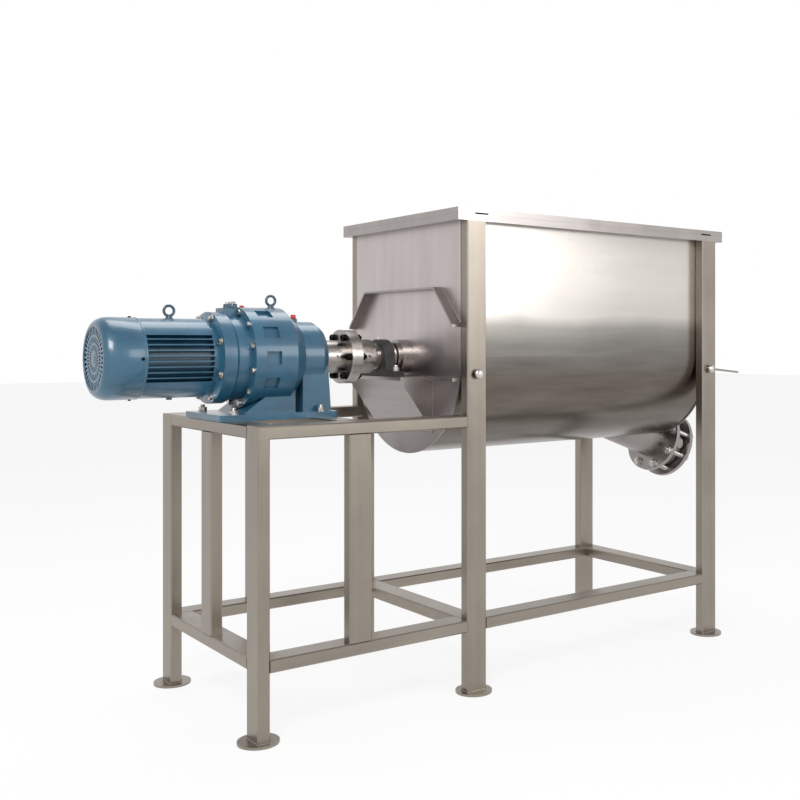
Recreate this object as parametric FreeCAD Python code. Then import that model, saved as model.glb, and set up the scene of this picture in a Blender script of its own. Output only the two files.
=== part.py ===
"""Ribbon blender: U-shaped mixing trough on a tube frame, driven through a flange coupling by a
finned motor and a cycloidal reducer.

Millimetres, +Z up.  X runs along the machine from the drive end to the discharge end, Y from the
operator's side (negative) to the hinge side of the lid.  While it is built, X starts at the drive end
of the table, Y at the middle plane and Z at the floor; main() then moves everything so that the
origin is the middle of the bottom of the bounding box.
"""
import FreeCAD
import Part
import math
import os
from FreeCAD import Placement, Rotation, Vector

# --- fits and clearances -------------------------------------------------------------------------
RUN_FIT = 0.05          # radial clearance of a shaft or pin that turns in its bore
SEAT_GAP = 0.3          # clearance between pieces of different bodies that rest on each other
HOLE_FIT = 0.4          # radial clearance of a bolt in its hole
JACKET_FIT = 0.2        # radial clearance of a cover pushed over a casting

# --- tube frame ----------------------------------------------------------------------------------
FRAME_WIDTH = 780.0     # over the front and back faces of the legs
TUBE_WIDE = 80.0
TUBE_NARROW = 40.0
TUBE_WALL = 3.0
TUBE_CORNER = 4.0       # outside corner of a tube, broken by a chamfer
TABLE_HEIGHT = 940.0    # top of the drive table
LOW_RAIL_TOP = 250.0
FOOT_RADIUS = 62.5
FOOT_THICKNESS = 8.0
TROUGH_LENGTH = 1254.0  # over the end plates, flush with the trough legs
LEG_TOP = 1600.0

# --- trough --------------------------------------------------------------------------------------
SHELL_WALL = 4.0
END_PLATE_THICKNESS = 6.0
END_PLATE_LIP = 4.0     # how far an end plate's round bottom stands out past the shell
RIM_HEIGHT = 23.0
RIM_WALL = 3.0
RIM_OVERHANG = 38.0     # past the end plates
STRIP_DEPTH = 35.0      # flat bars standing on edge on the end plates
STRIP_THICKNESS = 7.0
STRIP_DROP = 220.0      # from the leg tops down to the level top of the half-hexagon strip
STRIP_HEIGHT = 130.0    # from the strip's lower ends up to its level top
STRIP_TOP_HALF = 235.0  # half-width of its level top

# --- lid -----------------------------------------------------------------------------------------
LID_SHEET = 2.5
LID_HEIGHT = 20.0
SEAL_WIDTH = 12.0
NOTCH_WIDTH = 56.0      # finger notches in the front skirt
NOTCH_HEIGHT = 5.0
NOTCH_INSET = 98.0      # from the lid's end to the middle of a notch
HINGE_LENGTH = 90.0
HINGE_LEAF = 4.0
HINGE_RADIUS = 8.0
HINGE_PIN_RADIUS = 4.0
HINGE_SPREAD = 420.0    # from the middle of the trough to a hinge

# --- shaft, bearings and brackets ----------------------------------------------------------------
SHAFT_RADIUS = 35.0
SHAFT_STUB = 18.0       # past the end of the far bearing
BEARING_OUT = 103.0     # from an end plate's outer face to the middle of the bearing
BEARING_HEIGHT = 71.0   # shaft above the shelf
BEARING_WIDTH = 42.0
BEARING_RADIUS = 61.0
BEARING_BASE = 250.0
BEARING_FOOT = 20.0
BEARING_BOLT_SPAN = 200.0
BEARING_STUD_RADIUS = 8.0
STUD_FLATS = 24.0       # nuts of the 16 mm studs
STUD_NUT = 13.0
STUD_END = 8.0          # stud past its nut
INSERT_RADIUS = 46.0
SHELF_THICKNESS = 12.0
SHELF_OUT = 134.0
SHELF_HALF = 182.0
BRACE_DROP = 185.0      # from the shelf's underside to the brace's foot on the end plate
BRACE_THICKNESS = 8.0
GLAND_RADIUS = 60.0
GLAND_LENGTH = 44.0
FOLLOWER_RADIUS = 50.0
FOLLOWER_LENGTH = 14.0

# --- ribbons -------------------------------------------------------------------------------------
RIBBON_GAP = 6.0        # between the outer ribbons and the shell
RIBBON_END_GAP = 8.0
RIBBON_THICKNESS = 8.0
OUTER_RIBBON_WIDTH = 46.0
INNER_RIBBON_RADIUS = 190.0
INNER_RIBBON_WIDTH = 40.0
RIBBON_TURNS = 1.0      # of each ribbon; there are two of each, half a turn apart
SPOKE_WIDTH = 30.0      # flat bar standing on edge
SPOKE_THICKNESS = 12.0

# --- coupling ------------------------------------------------------------------------------------
OUTPUT_RADIUS = 32.0
HUB_GAP = 5.0           # from the reducer's nose to the first hub
HUB_RADIUS = 57.0
HUB_LENGTH = 73.0
COUPLING_RADIUS = 94.0
COUPLING_FLANGE = 21.0
COUPLING_BOLT_CIRCLE = 76.0
COUPLING_BOLT_RADIUS = 8.0
COUPLING_BOLTS = 6
SOCKET_HEAD_RADIUS = 12.0
SOCKET_HEAD_LENGTH = 14.0
HUB_TO_BEARING = 32.0   # from the second hub to the bearing

# --- reducer -------------------------------------------------------------------------------------
SHAFT_HEIGHT = 198.0    # shaft above the table, and so the reducer's centre height
BASE_LENGTH = 410.0
BASE_WIDTH = 300.0
BASE_THICKNESS = 20.0
BASE_BOLT_SPAN = 306.0
BASE_BOLT_WIDTH = 250.0
BASE_STUD_RADIUS = 8.0
PEDESTAL_LENGTH = 198.0
RING_LENGTH = 97.0
RING_RADIUS = 165.0
RING_POCKETS = 12
ADAPTER_LENGTH = 91.0
NOSE_RADIUS = 60.0
NOSE_PAST_BASE = 9.0    # how far the nose stands out past the base plate
OUTPUT_HOUSING_RADIUS = 120.0

# --- motor ---------------------------------------------------------------------------------------
MOTOR_RADIUS = 125.0
MOTOR_FLANGE_RADIUS = 148.0
MOTOR_FLANGE_THICKNESS = 26.0
STATOR_LENGTH = 231.0
COVER_LENGTH = 125.0
COVER_OVERLAP = 8.0
COVER_SHEET = 2.0
GRILLE_RADIUS = 101.0
COVER_BEND = 42.0       # length of the cover's shoulder
COVER_SHOULDER = 9.0    # how far the shoulder has come in after three quarters of it
SLOT_WIDTH = 7.0
SLOT_LENGTH = 30.0
MOTOR_SHAFT_RADIUS = 19.0
MOTOR_SHAFT_TAIL = 62.0  # past the stator, through the fan
MOTOR_SHAFT_ENTRY = 40.0  # into the reducer's adapter, short of the ring
FAN_SETBACK = 58.0      # from the stator to the fan's open side
FAN_RADIUS = 98.0
FAN_HUB_RADIUS = 28.0
FAN_WIDTH = 34.0
FAN_SHEET = 3.0
FAN_BLADES = 7
EYE_RING_RADIUS = 16.0  # lifting eyes, to the middle of the wire
EYE_WIRE_RADIUS = 4.5
EYE_STEM = 8.0
FIN_PITCH = 17.0
FIN_THICKNESS = 4.0
FIN_ROWS = 8

# --- discharge spout and butterfly valve ---------------------------------------------------------
SPOUT_ANGLE = 20.0      # fall of the spout, degrees
SPOUT_REACH = 30.0      # from the end plate's outer face to the middle of the first flange's face
SPOUT_DROP = 370.0      # from the shaft down to the middle of the first flange's face
PIPE_RADIUS = 84.0
PIPE_WALL = 4.0
FLANGE_RADIUS = 142.5
FLANGE_THICKNESS = 18.0
FLANGE_BOLT_CIRCLE = 120.0
FLANGE_BOLTS = 8
FLANGE_BOLT_RADIUS = 10.0
FLANGE_FLATS = 30.0
FLANGE_NUT = 14.0
FLANGE_STUD_END = 6.0
VALVE_WIDTH = 52.0
VALVE_RADIUS = 106.0
SEAT_LIP = 8.0
SEAT_WALL = 4.0
DISC_THICKNESS = 10.0
STEM_RADIUS = 10.0
NECK_RADIUS = 21.0
NECK_REACH = 176.0      # from the pipe's axis to the top of the neck
LEVER_LENGTH = 270.0
LEVER_WIDTH = 26.0
LEVER_THICKNESS = 8.0

# --- studs on the trough legs and the swing rod --------------------------------------------------
KNOB_DROP = 57.0        # below the shaft
KNOB_RADIUS = 17.0
KNOB_STUD_RADIUS = 6.0
KNOB_THICKNESS = 12.0
ROD_RADIUS = 4.5
ROD_LENGTH = 172.0
ROD_SAG = 5.5           # degrees below level at rest
ROD_EYE_RADIUS = 12.0

# --- places that follow --------------------------------------------------------------------------
HALF_WIDTH = FRAME_WIDTH / 2
TROUGH_RADIUS = HALF_WIDTH - TUBE_NARROW
INNER_RADIUS = TROUGH_RADIUS - SHELL_WALL
AXIS_Z = TABLE_HEIGHT + SHAFT_HEIGHT
RAIL_CENTRE = TUBE_WIDE / 2
POST_X = RAIL_CENTRE + BASE_BOLT_SPAN - TUBE_WIDE / 2
BASE_X = RAIL_CENTRE + BASE_BOLT_SPAN / 2 - BASE_LENGTH / 2
NOSE_X = BASE_X + BASE_LENGTH + NOSE_PAST_BASE
RING_X = NOSE_X - PEDESTAL_LENGTH - RING_LENGTH
ADAPTER_X = RING_X - ADAPTER_LENGTH
MOTOR_FLANGE_X = ADAPTER_X - MOTOR_FLANGE_THICKNESS
STATOR_X = MOTOR_FLANGE_X - STATOR_LENGTH
COVER_X = STATOR_X + COVER_OVERLAP - COVER_LENGTH
HUB_X = NOSE_X + HUB_GAP
COUPLING_X = HUB_X + HUB_LENGTH + COUPLING_FLANGE
BEARING_X = COUPLING_X + COUPLING_FLANGE + HUB_LENGTH + HUB_TO_BEARING + BEARING_WIDTH / 2
TROUGH_X = BEARING_X + BEARING_OUT
TROUGH_END = TROUGH_X + TROUGH_LENGTH
TROUGH_MIDDLE = (TROUGH_X + TROUGH_END) / 2
SHELF_TOP = AXIS_Z - BEARING_HEIGHT
RIM_TOP = LEG_TOP + RIM_HEIGHT
LID_BOTTOM = RIM_TOP + SEAT_GAP
LID_TOP = RIM_TOP + LID_HEIGHT
RIM_START = TROUGH_X - RIM_OVERHANG
RIM_END = TROUGH_END + RIM_OVERHANG
HINGE_Y = HALF_WIDTH + HINGE_LEAF / 2 + HINGE_RADIUS
HINGE_Z = RIM_TOP
VALVE_FACE = FLANGE_THICKNESS + SEAT_LIP
SPOUT_STACK = 2 * FLANGE_THICKNESS + 2 * SEAT_LIP + VALVE_WIDTH
VALVE_MIDDLE = SPOUT_STACK / 2
PIPE_BORE = PIPE_RADIUS - PIPE_WALL
SEAT_BORE = PIPE_BORE - SEAT_WALL
KNOB_X = TROUGH_END - TUBE_WIDE / 2
KNOB_Z = AXIS_Z - KNOB_DROP

AXIS_X = Vector(1, 0, 0)
AXIS_Y = Vector(0, 1, 0)
AXIS_UP = Vector(0, 0, 1)


# --- building blocks -----------------------------------------------------------------------------
def box(x0, x1, y0, y1, z0, z1):
    return Part.makeBox(x1 - x0, y1 - y0, z1 - z0, Vector(x0, y0, z0))


def rod_x(radius, x0, x1, y=0.0, z=AXIS_Z):
    return Part.makeCylinder(radius, x1 - x0, Vector(x0, y, z), AXIS_X)


def rod_y(radius, x, y0, y1, z):
    return Part.makeCylinder(radius, y1 - y0, Vector(x, y0, z), AXIS_Y)


def rod_z(radius, x, y, z0, z1):
    return Part.makeCylinder(radius, z1 - z0, Vector(x, y, z0), AXIS_UP)


def prism_y(points, y0, y1):
    """A flat outline in the XZ plane, given as (x, z) corners, drawn out from y0 to y1."""
    wire = Part.makePolygon([Vector(x, y0, z) for x, z in points + points[:1]])
    return Part.Face(wire).extrude(Vector(0, y1 - y0, 0))


def prism_x(points, x0, x1):
    """A flat outline in the YZ plane, given as (y, z) corners, drawn out from x0 to x1."""
    wire = Part.makePolygon([Vector(x0, y, z) for y, z in points + points[:1]])
    return Part.Face(wire).extrude(Vector(x1 - x0, 0, 0))


def prism_z(points, z0, z1):
    """A flat outline in the XY plane, given as (x, y) corners, drawn out from z0 to z1."""
    wire = Part.makePolygon([Vector(x, y, z0) for x, y in points + points[:1]])
    return Part.Face(wire).extrude(Vector(0, 0, z1 - z0))


def turned_x(edges):
    """A closed outline of edges in the XZ plane, turned about the shaft's axis."""
    face = Part.Face(Part.Wire(Part.__sortEdges__(edges)))
    return face.revolve(Vector(0, 0, AXIS_Z), AXIS_X, 360)


def profile(points):
    """Straight edges round a list of (x, radius) corners measured from the shaft's axis."""
    corners = [Vector(x, 0, AXIS_Z + radius) for x, radius in points]
    return [Part.LineSegment(a, b).toShape() for a, b in zip(corners, corners[1:] + corners[:1])]


def fuse(shapes):
    first, *rest = shapes
    return first.fuse(rest).removeSplitter() if rest else first


def group(shapes):
    return Part.makeCompound(list(shapes))


def hexagon(across_flats, height, base, axis):
    """A hexagonal prism standing on base and pointing along axis."""
    corner = across_flats / math.sqrt(3)
    points = [Vector(corner * math.cos(math.radians(60 * k)), corner * math.sin(math.radians(60 * k)), 0)
              for k in range(7)]
    solid = Part.Face(Part.makePolygon(points)).extrude(Vector(0, 0, height))
    solid.Placement = Placement(base, Rotation(AXIS_UP, axis))
    return solid


def shank(radius, length, base, axis):
    """A bolt's shank, which its hole and nuts hide, with six sides in place of its thread."""
    return hexagon(radius * math.sqrt(3), length, base, axis)


def around(shape, count, first=0.0):
    copies = []
    for k in range(count):
        turned = shape.copy()
        turned.rotate(Vector(0, 0, AXIS_Z), AXIS_X, first + 360 * k / count)
        copies.append(turned)
    return copies


def tube(x0, x1, y0, y1, z0, z1, along):
    """A rectangular tube with broken edges that fills the given box and is open at both ends."""
    outside = box(x0, x1, y0, y1, z0, z1)
    direction = {"x": AXIS_X, "y": AXIS_Y, "z": AXIS_UP}[along]
    edges = [e for e in outside.Edges if abs(e.tangentAt(e.FirstParameter).dot(direction)) > 0.9]
    outside = outside.makeChamfer(TUBE_CORNER, edges)
    dx, dy, dz = (0 if along == name else TUBE_WALL for name in "xyz")
    return outside.cut(box(x0 + dx, x1 - dx, y0 + dy, y1 - dy, z0 + dz, z1 - dz))


def mirrored_y(shape):
    return shape.mirror(Vector(0, 0, 0), AXIS_Y)


def at_far_end(shape):
    """The same piece at the discharge end of the trough."""
    return shape.mirror(Vector(TROUGH_MIDDLE, 0, 0), AXIS_X)


def both_ends(shape):
    return group([shape, at_far_end(shape)])


# --- frame ---------------------------------------------------------------------------------------
def frame():
    front = -HALF_WIDTH
    inner = HALF_WIDTH - TUBE_WIDE
    low = LOW_RAIL_TOP - TUBE_NARROW
    table_low = TABLE_HEIGHT - TUBE_NARROW
    far_leg = TROUGH_END - TUBE_WIDE

    # The table's legs and long rails meet in a mitre across their 40 mm sides.
    leg = tube(0, TUBE_NARROW, front, -inner, FOOT_THICKNESS, TABLE_HEIGHT, "z")
    mitre = prism_y([(0, table_low - 1), (0, TABLE_HEIGHT), (TUBE_NARROW, table_low), (TUBE_NARROW, 0),
                     (0, 0)], front, -inner)
    drive_leg = leg.common(mitre)
    trough_leg = tube(TROUGH_X, TROUGH_X + TUBE_WIDE, front, front + TUBE_NARROW, FOOT_THICKNESS,
                      LEG_TOP, "z")
    end_leg = tube(far_leg, TROUGH_END, front, front + TUBE_NARROW, FOOT_THICKNESS, LEG_TOP, "z")

    table_rail = tube(0, TROUGH_X, front, -inner, table_low, TABLE_HEIGHT, "x")
    table_rail = table_rail.cut(prism_y([(-1, TABLE_HEIGHT + 1), (TUBE_NARROW + 1, table_low - 1),
                                         (-1, table_low - 1)], front - 1, 1 - inner))
    lead_rail = tube(TUBE_NARROW, TROUGH_X, front, -inner, low, LOW_RAIL_TOP, "x")
    trough_rail = tube(TROUGH_X + TUBE_WIDE, far_leg, front, -inner, low, LOW_RAIL_TOP, "x")
    cross = HALF_WIDTH - TUBE_NARROW
    middle_post = tube(0, TUBE_NARROW, -TUBE_WIDE / 2, TUBE_WIDE / 2, LOW_RAIL_TOP, table_low, "z")
    post = tube(POST_X, POST_X + TUBE_WIDE, front, front + TUBE_NARROW, LOW_RAIL_TOP, table_low, "z")
    feet = [rod_z(FOOT_RADIUS, x, side * y, 0, FOOT_THICKNESS)
            for x, y in ((TUBE_NARROW / 2, HALF_WIDTH - TUBE_WIDE / 2),
                         (TROUGH_X + TUBE_WIDE / 2, HALF_WIDTH - TUBE_NARROW / 2),
                         (TROUGH_END - TUBE_WIDE / 2, HALF_WIDTH - TUBE_NARROW / 2))
            for side in (-1, 1)]
    low_rails = [lead_rail, mirrored_y(lead_rail), trough_rail, mirrored_y(trough_rail)]
    low_rails += [tube(0, TUBE_WIDE, -inner, inner, low, LOW_RAIL_TOP, "y")]
    low_rails += [tube(x, x + TUBE_WIDE, -cross, cross, low, LOW_RAIL_TOP, "y") for x in (TROUGH_X, far_leg)]
    return {
        "drive_legs": group([drive_leg, mirrored_y(drive_leg)]),
        "trough_leg_front": trough_leg,
        "trough_leg_back": mirrored_y(trough_leg),
        "end_leg_front": end_leg,
        "end_leg_back": mirrored_y(end_leg),
        "foot_discs": group(feet),
        "table_rails": group([table_rail, mirrored_y(table_rail)]),
        "table_cross_rails": group([
            tube(x, x + TUBE_WIDE, -inner, inner, table_low, TABLE_HEIGHT, "y") for x in (0, POST_X)]),
        "table_posts": group([middle_post, post, mirrored_y(post)]),
        "low_rails": group(low_rails),
    }


# --- trough --------------------------------------------------------------------------------------
def trough_section(radius, x0, x1, half=None):
    """The U of the trough as one solid: a round bottom about the shaft with straight sides above."""
    half = half or radius
    sides = box(x0, x1, -half, half, AXIS_Z, LEG_TOP)
    solid = rod_x(radius, x0, x1).fuse(sides).removeSplitter()
    return solid.common(box(x0, x1, -half, half, 0, LEG_TOP))


def spout_place():
    """Local frame of the spout: its Z runs down the pipe from the first flange's outer face."""
    fall = math.radians(SPOUT_ANGLE)
    base = Vector(TROUGH_END + SPOUT_REACH, 0, AXIS_Z - SPOUT_DROP)
    flow = Vector(math.cos(fall), 0, -math.sin(fall))
    return Placement(base, Rotation(AXIS_Y, 90 + SPOUT_ANGLE)), flow


def on_spout(shape):
    shape.Placement = spout_place()[0].multiply(shape.Placement)
    return shape


def spout_core(radius):
    """A long cylinder along the spout, from well inside the trough to the first flange."""
    return on_spout(Part.makeCylinder(radius, TROUGH_LENGTH / 2, Vector(0, 0, -TROUGH_LENGTH / 2)))


def trough():
    inside = (TROUGH_X + END_PLATE_THICKNESS, TROUGH_END - END_PLATE_THICKNESS)
    hollow = trough_section(INNER_RADIUS, TROUGH_X, TROUGH_END)
    shell = trough_section(TROUGH_RADIUS, *inside).cut(hollow).cut(spout_core(PIPE_RADIUS))

    plate = trough_section(TROUGH_RADIUS + END_PLATE_LIP, TROUGH_X, inside[0], TROUGH_RADIUS)
    plate = plate.cut(rod_x(SHAFT_RADIUS + 1, TROUGH_X, inside[0]))
    far_plate = at_far_end(plate).cut(spout_core(PIPE_RADIUS))

    # The rim is four tubes mitred at the corners.
    rim_half = RIM_OVERHANG + END_PLATE_THICKNESS
    long_bar = box(RIM_START, RIM_END, -HALF_WIDTH, -INNER_RADIUS, LEG_TOP, RIM_TOP)
    long_bar = long_bar.cut(box(RIM_START, RIM_END, -HALF_WIDTH + RIM_WALL, -INNER_RADIUS - RIM_WALL,
                                LEG_TOP + RIM_WALL, RIM_TOP - RIM_WALL))
    long_bar = long_bar.common(prism_z([
        (RIM_START, -HALF_WIDTH), (RIM_END, -HALF_WIDTH), (RIM_END - rim_half, -INNER_RADIUS),
        (RIM_START + rim_half, -INNER_RADIUS)], LEG_TOP, RIM_TOP))
    end_bar = box(RIM_START, inside[0], -HALF_WIDTH, HALF_WIDTH, LEG_TOP, RIM_TOP)
    end_bar = end_bar.cut(box(RIM_START + RIM_WALL, inside[0] - RIM_WALL, -HALF_WIDTH, HALF_WIDTH,
                              LEG_TOP + RIM_WALL, RIM_TOP - RIM_WALL))
    end_bar = end_bar.common(prism_z([
        (RIM_START, -HALF_WIDTH), (inside[0], -INNER_RADIUS), (inside[0], INNER_RADIUS),
        (RIM_START, HALF_WIDTH)], LEG_TOP, RIM_TOP))

    # A flat bar bent to half a hexagon stands on edge on each end plate, from leg to leg.
    def half_hexagon(inset):
        slope = (TROUGH_RADIUS - STRIP_TOP_HALF) / STRIP_HEIGHT
        side = inset * math.hypot(1, slope)
        top_half = STRIP_TOP_HALF - (side - inset * slope)
        top = LEG_TOP - STRIP_DROP
        foot = top - STRIP_HEIGHT - side / slope
        return [(-TROUGH_RADIUS, foot), (-top_half, top - inset), (top_half, top - inset),
                (TROUGH_RADIUS, foot)]

    outline = half_hexagon(0) + half_hexagon(STRIP_THICKNESS)[::-1]
    strip = prism_x(outline, TROUGH_X - STRIP_DEPTH, TROUGH_X)
    return {
        "trough_shell": shell,
        "end_plate_drive": plate,
        "end_plate_discharge": far_plate,
        "rim_bars": group([long_bar, mirrored_y(long_bar), end_bar, at_far_end(end_bar)]),
        "end_plate_strips": both_ends(strip),
    }


# --- bearing brackets, bearings and stuffing boxes -----------------------------------------------
def brackets():
    top, low = SHELF_TOP, SHELF_TOP - SHELF_THICKNESS
    outer = TROUGH_X - SHELF_OUT
    shelf = box(outer, TROUGH_X, -SHELF_HALF, SHELF_HALF, low, top)
    bar = box(TROUGH_X - STRIP_DEPTH, TROUGH_X, SHELF_HALF, TROUGH_RADIUS, low, top)

    lean = math.atan2(BRACE_DROP, SHELF_OUT)
    across = BRACE_THICKNESS / math.sin(lean)
    up = BRACE_THICKNESS / math.cos(lean)
    brace = prism_y([(outer, low), (outer + across, low), (TROUGH_X, low - BRACE_DROP + up),
                     (TROUGH_X, low - BRACE_DROP)], -SHELF_HALF, SHELF_HALF)
    gusset = prism_y([(outer + across, low), (TROUGH_X, low), (TROUGH_X, low - BRACE_DROP + up)],
                     SHELF_HALF - BRACE_THICKNESS, SHELF_HALF)
    brace = fuse([brace, gusset, mirrored_y(gusset)])
    return {
        "bearing_shelves": both_ends(shelf),
        "end_plate_bars": group([bar, mirrored_y(bar), at_far_end(bar), at_far_end(mirrored_y(bar))]),
        "shelf_braces": both_ends(brace),
    }


def bearings():
    x0, x1 = BEARING_X - BEARING_WIDTH / 2, BEARING_X + BEARING_WIDTH / 2
    foot_top = SHELF_TOP + BEARING_FOOT
    half = BEARING_BASE / 2
    shoulder = BEARING_RADIUS + 14
    block = fuse([
        rod_x(BEARING_RADIUS, x0, x1),
        prism_x([(-shoulder, foot_top), (-BEARING_RADIUS, AXIS_Z), (BEARING_RADIUS, AXIS_Z),
                 (shoulder, foot_top), (half, foot_top), (half, SHELF_TOP), (-half, SHELF_TOP),
                 (-half, foot_top)], x0, x1)])
    block = block.cut(rod_x(INSERT_RADIUS, x0, x1))
    bolts = []
    for side in (-1, 1):
        y = side * BEARING_BOLT_SPAN / 2
        block = block.cut(rod_z(BEARING_STUD_RADIUS + HOLE_FIT, BEARING_X, y, SHELF_TOP, foot_top))
        bolts.append(fuse([
            shank(BEARING_STUD_RADIUS, BEARING_FOOT + STUD_NUT + STUD_END, Vector(BEARING_X, y, SHELF_TOP),
                  AXIS_UP),
            hexagon(STUD_FLATS, STUD_NUT, Vector(BEARING_X, y, foot_top), AXIS_UP)]))
    insert = rod_x(INSERT_RADIUS, x0 - 5, x1 + 5).cut(rod_x(SHAFT_RADIUS + RUN_FIT, x0 - 5, x1 + 5))

    gland_x = TROUGH_X - GLAND_LENGTH
    gland = rod_x(GLAND_RADIUS, gland_x, TROUGH_X).cut(rod_x(SHAFT_RADIUS + RUN_FIT, gland_x, TROUGH_X))
    follower = rod_x(FOLLOWER_RADIUS, gland_x - FOLLOWER_LENGTH, gland_x)
    follower = follower.cut(rod_x(SHAFT_RADIUS + RUN_FIT, gland_x - FOLLOWER_LENGTH, gland_x))
    return {
        "bearing_housings": both_ends(block),
        "bearing_inserts": both_ends(insert),
        "bearing_bolts": group(bolts + [at_far_end(bolt) for bolt in bolts]),
        "stuffing_boxes": both_ends(gland),
        "gland_followers": both_ends(follower),
    }


# --- lid -----------------------------------------------------------------------------------------
def lid():
    body = box(RIM_START, RIM_END, -HALF_WIDTH, HALF_WIDTH, LID_BOTTOM, LID_TOP)
    body = body.cut(box(RIM_START + LID_SHEET, RIM_END - LID_SHEET, -HALF_WIDTH + LID_SHEET,
                        HALF_WIDTH - LID_SHEET, LID_BOTTOM, LID_TOP - LID_SHEET))
    for x in (RIM_START + NOTCH_INSET, RIM_END - NOTCH_INSET):
        body = body.cut(box(x - NOTCH_WIDTH / 2, x + NOTCH_WIDTH / 2, -HALF_WIDTH,
                            -HALF_WIDTH + LID_SHEET, LID_BOTTOM, LID_BOTTOM + NOTCH_HEIGHT))
    inner_x = (TROUGH_X + END_PLATE_THICKNESS, TROUGH_END - END_PLATE_THICKNESS)
    seal_top = LID_TOP - LID_SHEET - SEAT_GAP
    seal = box(inner_x[0] - SEAL_WIDTH, inner_x[1] + SEAL_WIDTH, -INNER_RADIUS - SEAL_WIDTH,
               INNER_RADIUS + SEAL_WIDTH, RIM_TOP, seal_top)
    seal = seal.cut(box(inner_x[0], inner_x[1], -INNER_RADIUS, INNER_RADIUS, RIM_TOP, seal_top))

    # Each hinge has two knuckles on the rim and one between them on the lid.
    rim_leaves, lid_leaves, pins = [], [], []
    third = HINGE_LENGTH / 3
    clear = HINGE_RADIUS + 1
    for x in (TROUGH_MIDDLE - HINGE_SPREAD, TROUGH_MIDDLE + HINGE_SPREAD):
        x0, x1 = x - HINGE_LENGTH / 2, x + HINGE_LENGTH / 2
        back, out = HALF_WIDTH, HALF_WIDTH + HINGE_LEAF
        bore = rod_x(HINGE_PIN_RADIUS, x0, x1, HINGE_Y, HINGE_Z)
        rim_leaf = fuse([box(x0, x1, back, out, LEG_TOP + 2, HINGE_Z - clear)] + [
            rod_x(HINGE_RADIUS, a, a + third - SEAT_GAP / 2, HINGE_Y, HINGE_Z)
            .fuse(box(a, a + third - SEAT_GAP / 2, back, out, HINGE_Z - clear, HINGE_Z))
            for a in (x0, x1 - third + SEAT_GAP / 2)])
        rim_leaves.append(rim_leaf.cut(bore))
        a, b = x0 + third + SEAT_GAP / 2, x1 - third - SEAT_GAP / 2
        lid_leaf = fuse([box(x0, x1, back, out, HINGE_Z + clear, LID_TOP - LID_SHEET),
                         box(a, b, back, out, HINGE_Z + SEAT_GAP, HINGE_Z + clear),
                         rod_x(HINGE_RADIUS, a, b, HINGE_Y, HINGE_Z)])
        lid_leaves.append(lid_leaf.cut(rod_x(HINGE_PIN_RADIUS + RUN_FIT, a, b, HINGE_Y, HINGE_Z)))
        pins.append(bore)
    return {
        "lid": body,
        "lid_seal": seal,
        "hinge_leaves_rim": group(rim_leaves),
        "hinge_leaves_lid": group(lid_leaves),
        "hinge_pins": group(pins),
    }


# --- motor ---------------------------------------------------------------------------------------
def eye_bolt(x, seat):
    ring, wire = EYE_RING_RADIUS, EYE_WIRE_RADIUS
    centre = seat + EYE_STEM + ring
    eye = rod_y(ring + wire, x, -wire, wire, centre)
    foot = box(x - 2 * wire, x + 2 * wire, -wire, wire, seat, centre - ring)
    return fuse([eye, foot]).cut(rod_y(ring - wire, x, -wire, wire, centre))


def motor():
    stator_end = MOTOR_FLANGE_X
    shield_x = stator_end - 14
    full = rod_x(MOTOR_RADIUS, STATOR_X, shield_x)
    fin_half = FIN_PITCH * FIN_ROWS / 2 + FIN_PITCH / 4
    ribs = [box(STATOR_X, shield_x, -MOTOR_RADIUS, MOTOR_RADIUS, AXIS_Z + z - FIN_THICKNESS / 2,
                AXIS_Z + z + FIN_THICKNESS / 2)
            for z in (FIN_PITCH * (k - (FIN_ROWS - 1) / 2) for k in range(FIN_ROWS))]
    pads = [box(STATOR_X, shield_x, -MOTOR_RADIUS, MOTOR_RADIUS, AXIS_Z + a, AXIS_Z + b)
            for a, b in ((fin_half, MOTOR_RADIUS), (-MOTOR_RADIUS, -fin_half))]
    core = rod_x(MOTOR_RADIUS - 22, STATOR_X, shield_x)
    outside = full.common(ribs[0].fuse(ribs[1:] + pads))
    shield = rod_x(MOTOR_RADIUS - 6, shield_x, stator_end)
    drain = rod_z(9, STATOR_X + STATOR_LENGTH / 2, 0, AXIS_Z - MOTOR_RADIUS - 6, AXIS_Z - MOTOR_RADIUS + 8)
    body = fuse([core, outside, shield, drain]).cut(
        rod_x(MOTOR_SHAFT_RADIUS + RUN_FIT, STATOR_X, stator_end))

    flange = turned_x(profile([
        (stator_end, MOTOR_SHAFT_RADIUS + RUN_FIT), (stator_end, MOTOR_RADIUS - 6),
        (stator_end + 8, MOTOR_FLANGE_RADIUS),
        (ADAPTER_X, MOTOR_FLANGE_RADIUS), (ADAPTER_X, MOTOR_SHAFT_RADIUS + RUN_FIT)]))

    return {
        "motor_body": body,
        "motor_flange": flange,
        "fan_cover": fan_cover(),
        "motor_shaft": rod_x(MOTOR_SHAFT_RADIUS, STATOR_X - MOTOR_SHAFT_TAIL, RING_X - MOTOR_SHAFT_ENTRY),
        "cooling_fan": cooling_fan(),
        "eye_bolts": group([
            eye_bolt(STATOR_X + STATOR_LENGTH / 2, AXIS_Z + MOTOR_RADIUS),
            eye_bolt(RING_X + RING_LENGTH + 16, AXIS_Z + RING_RADIUS)]),
    }


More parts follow.
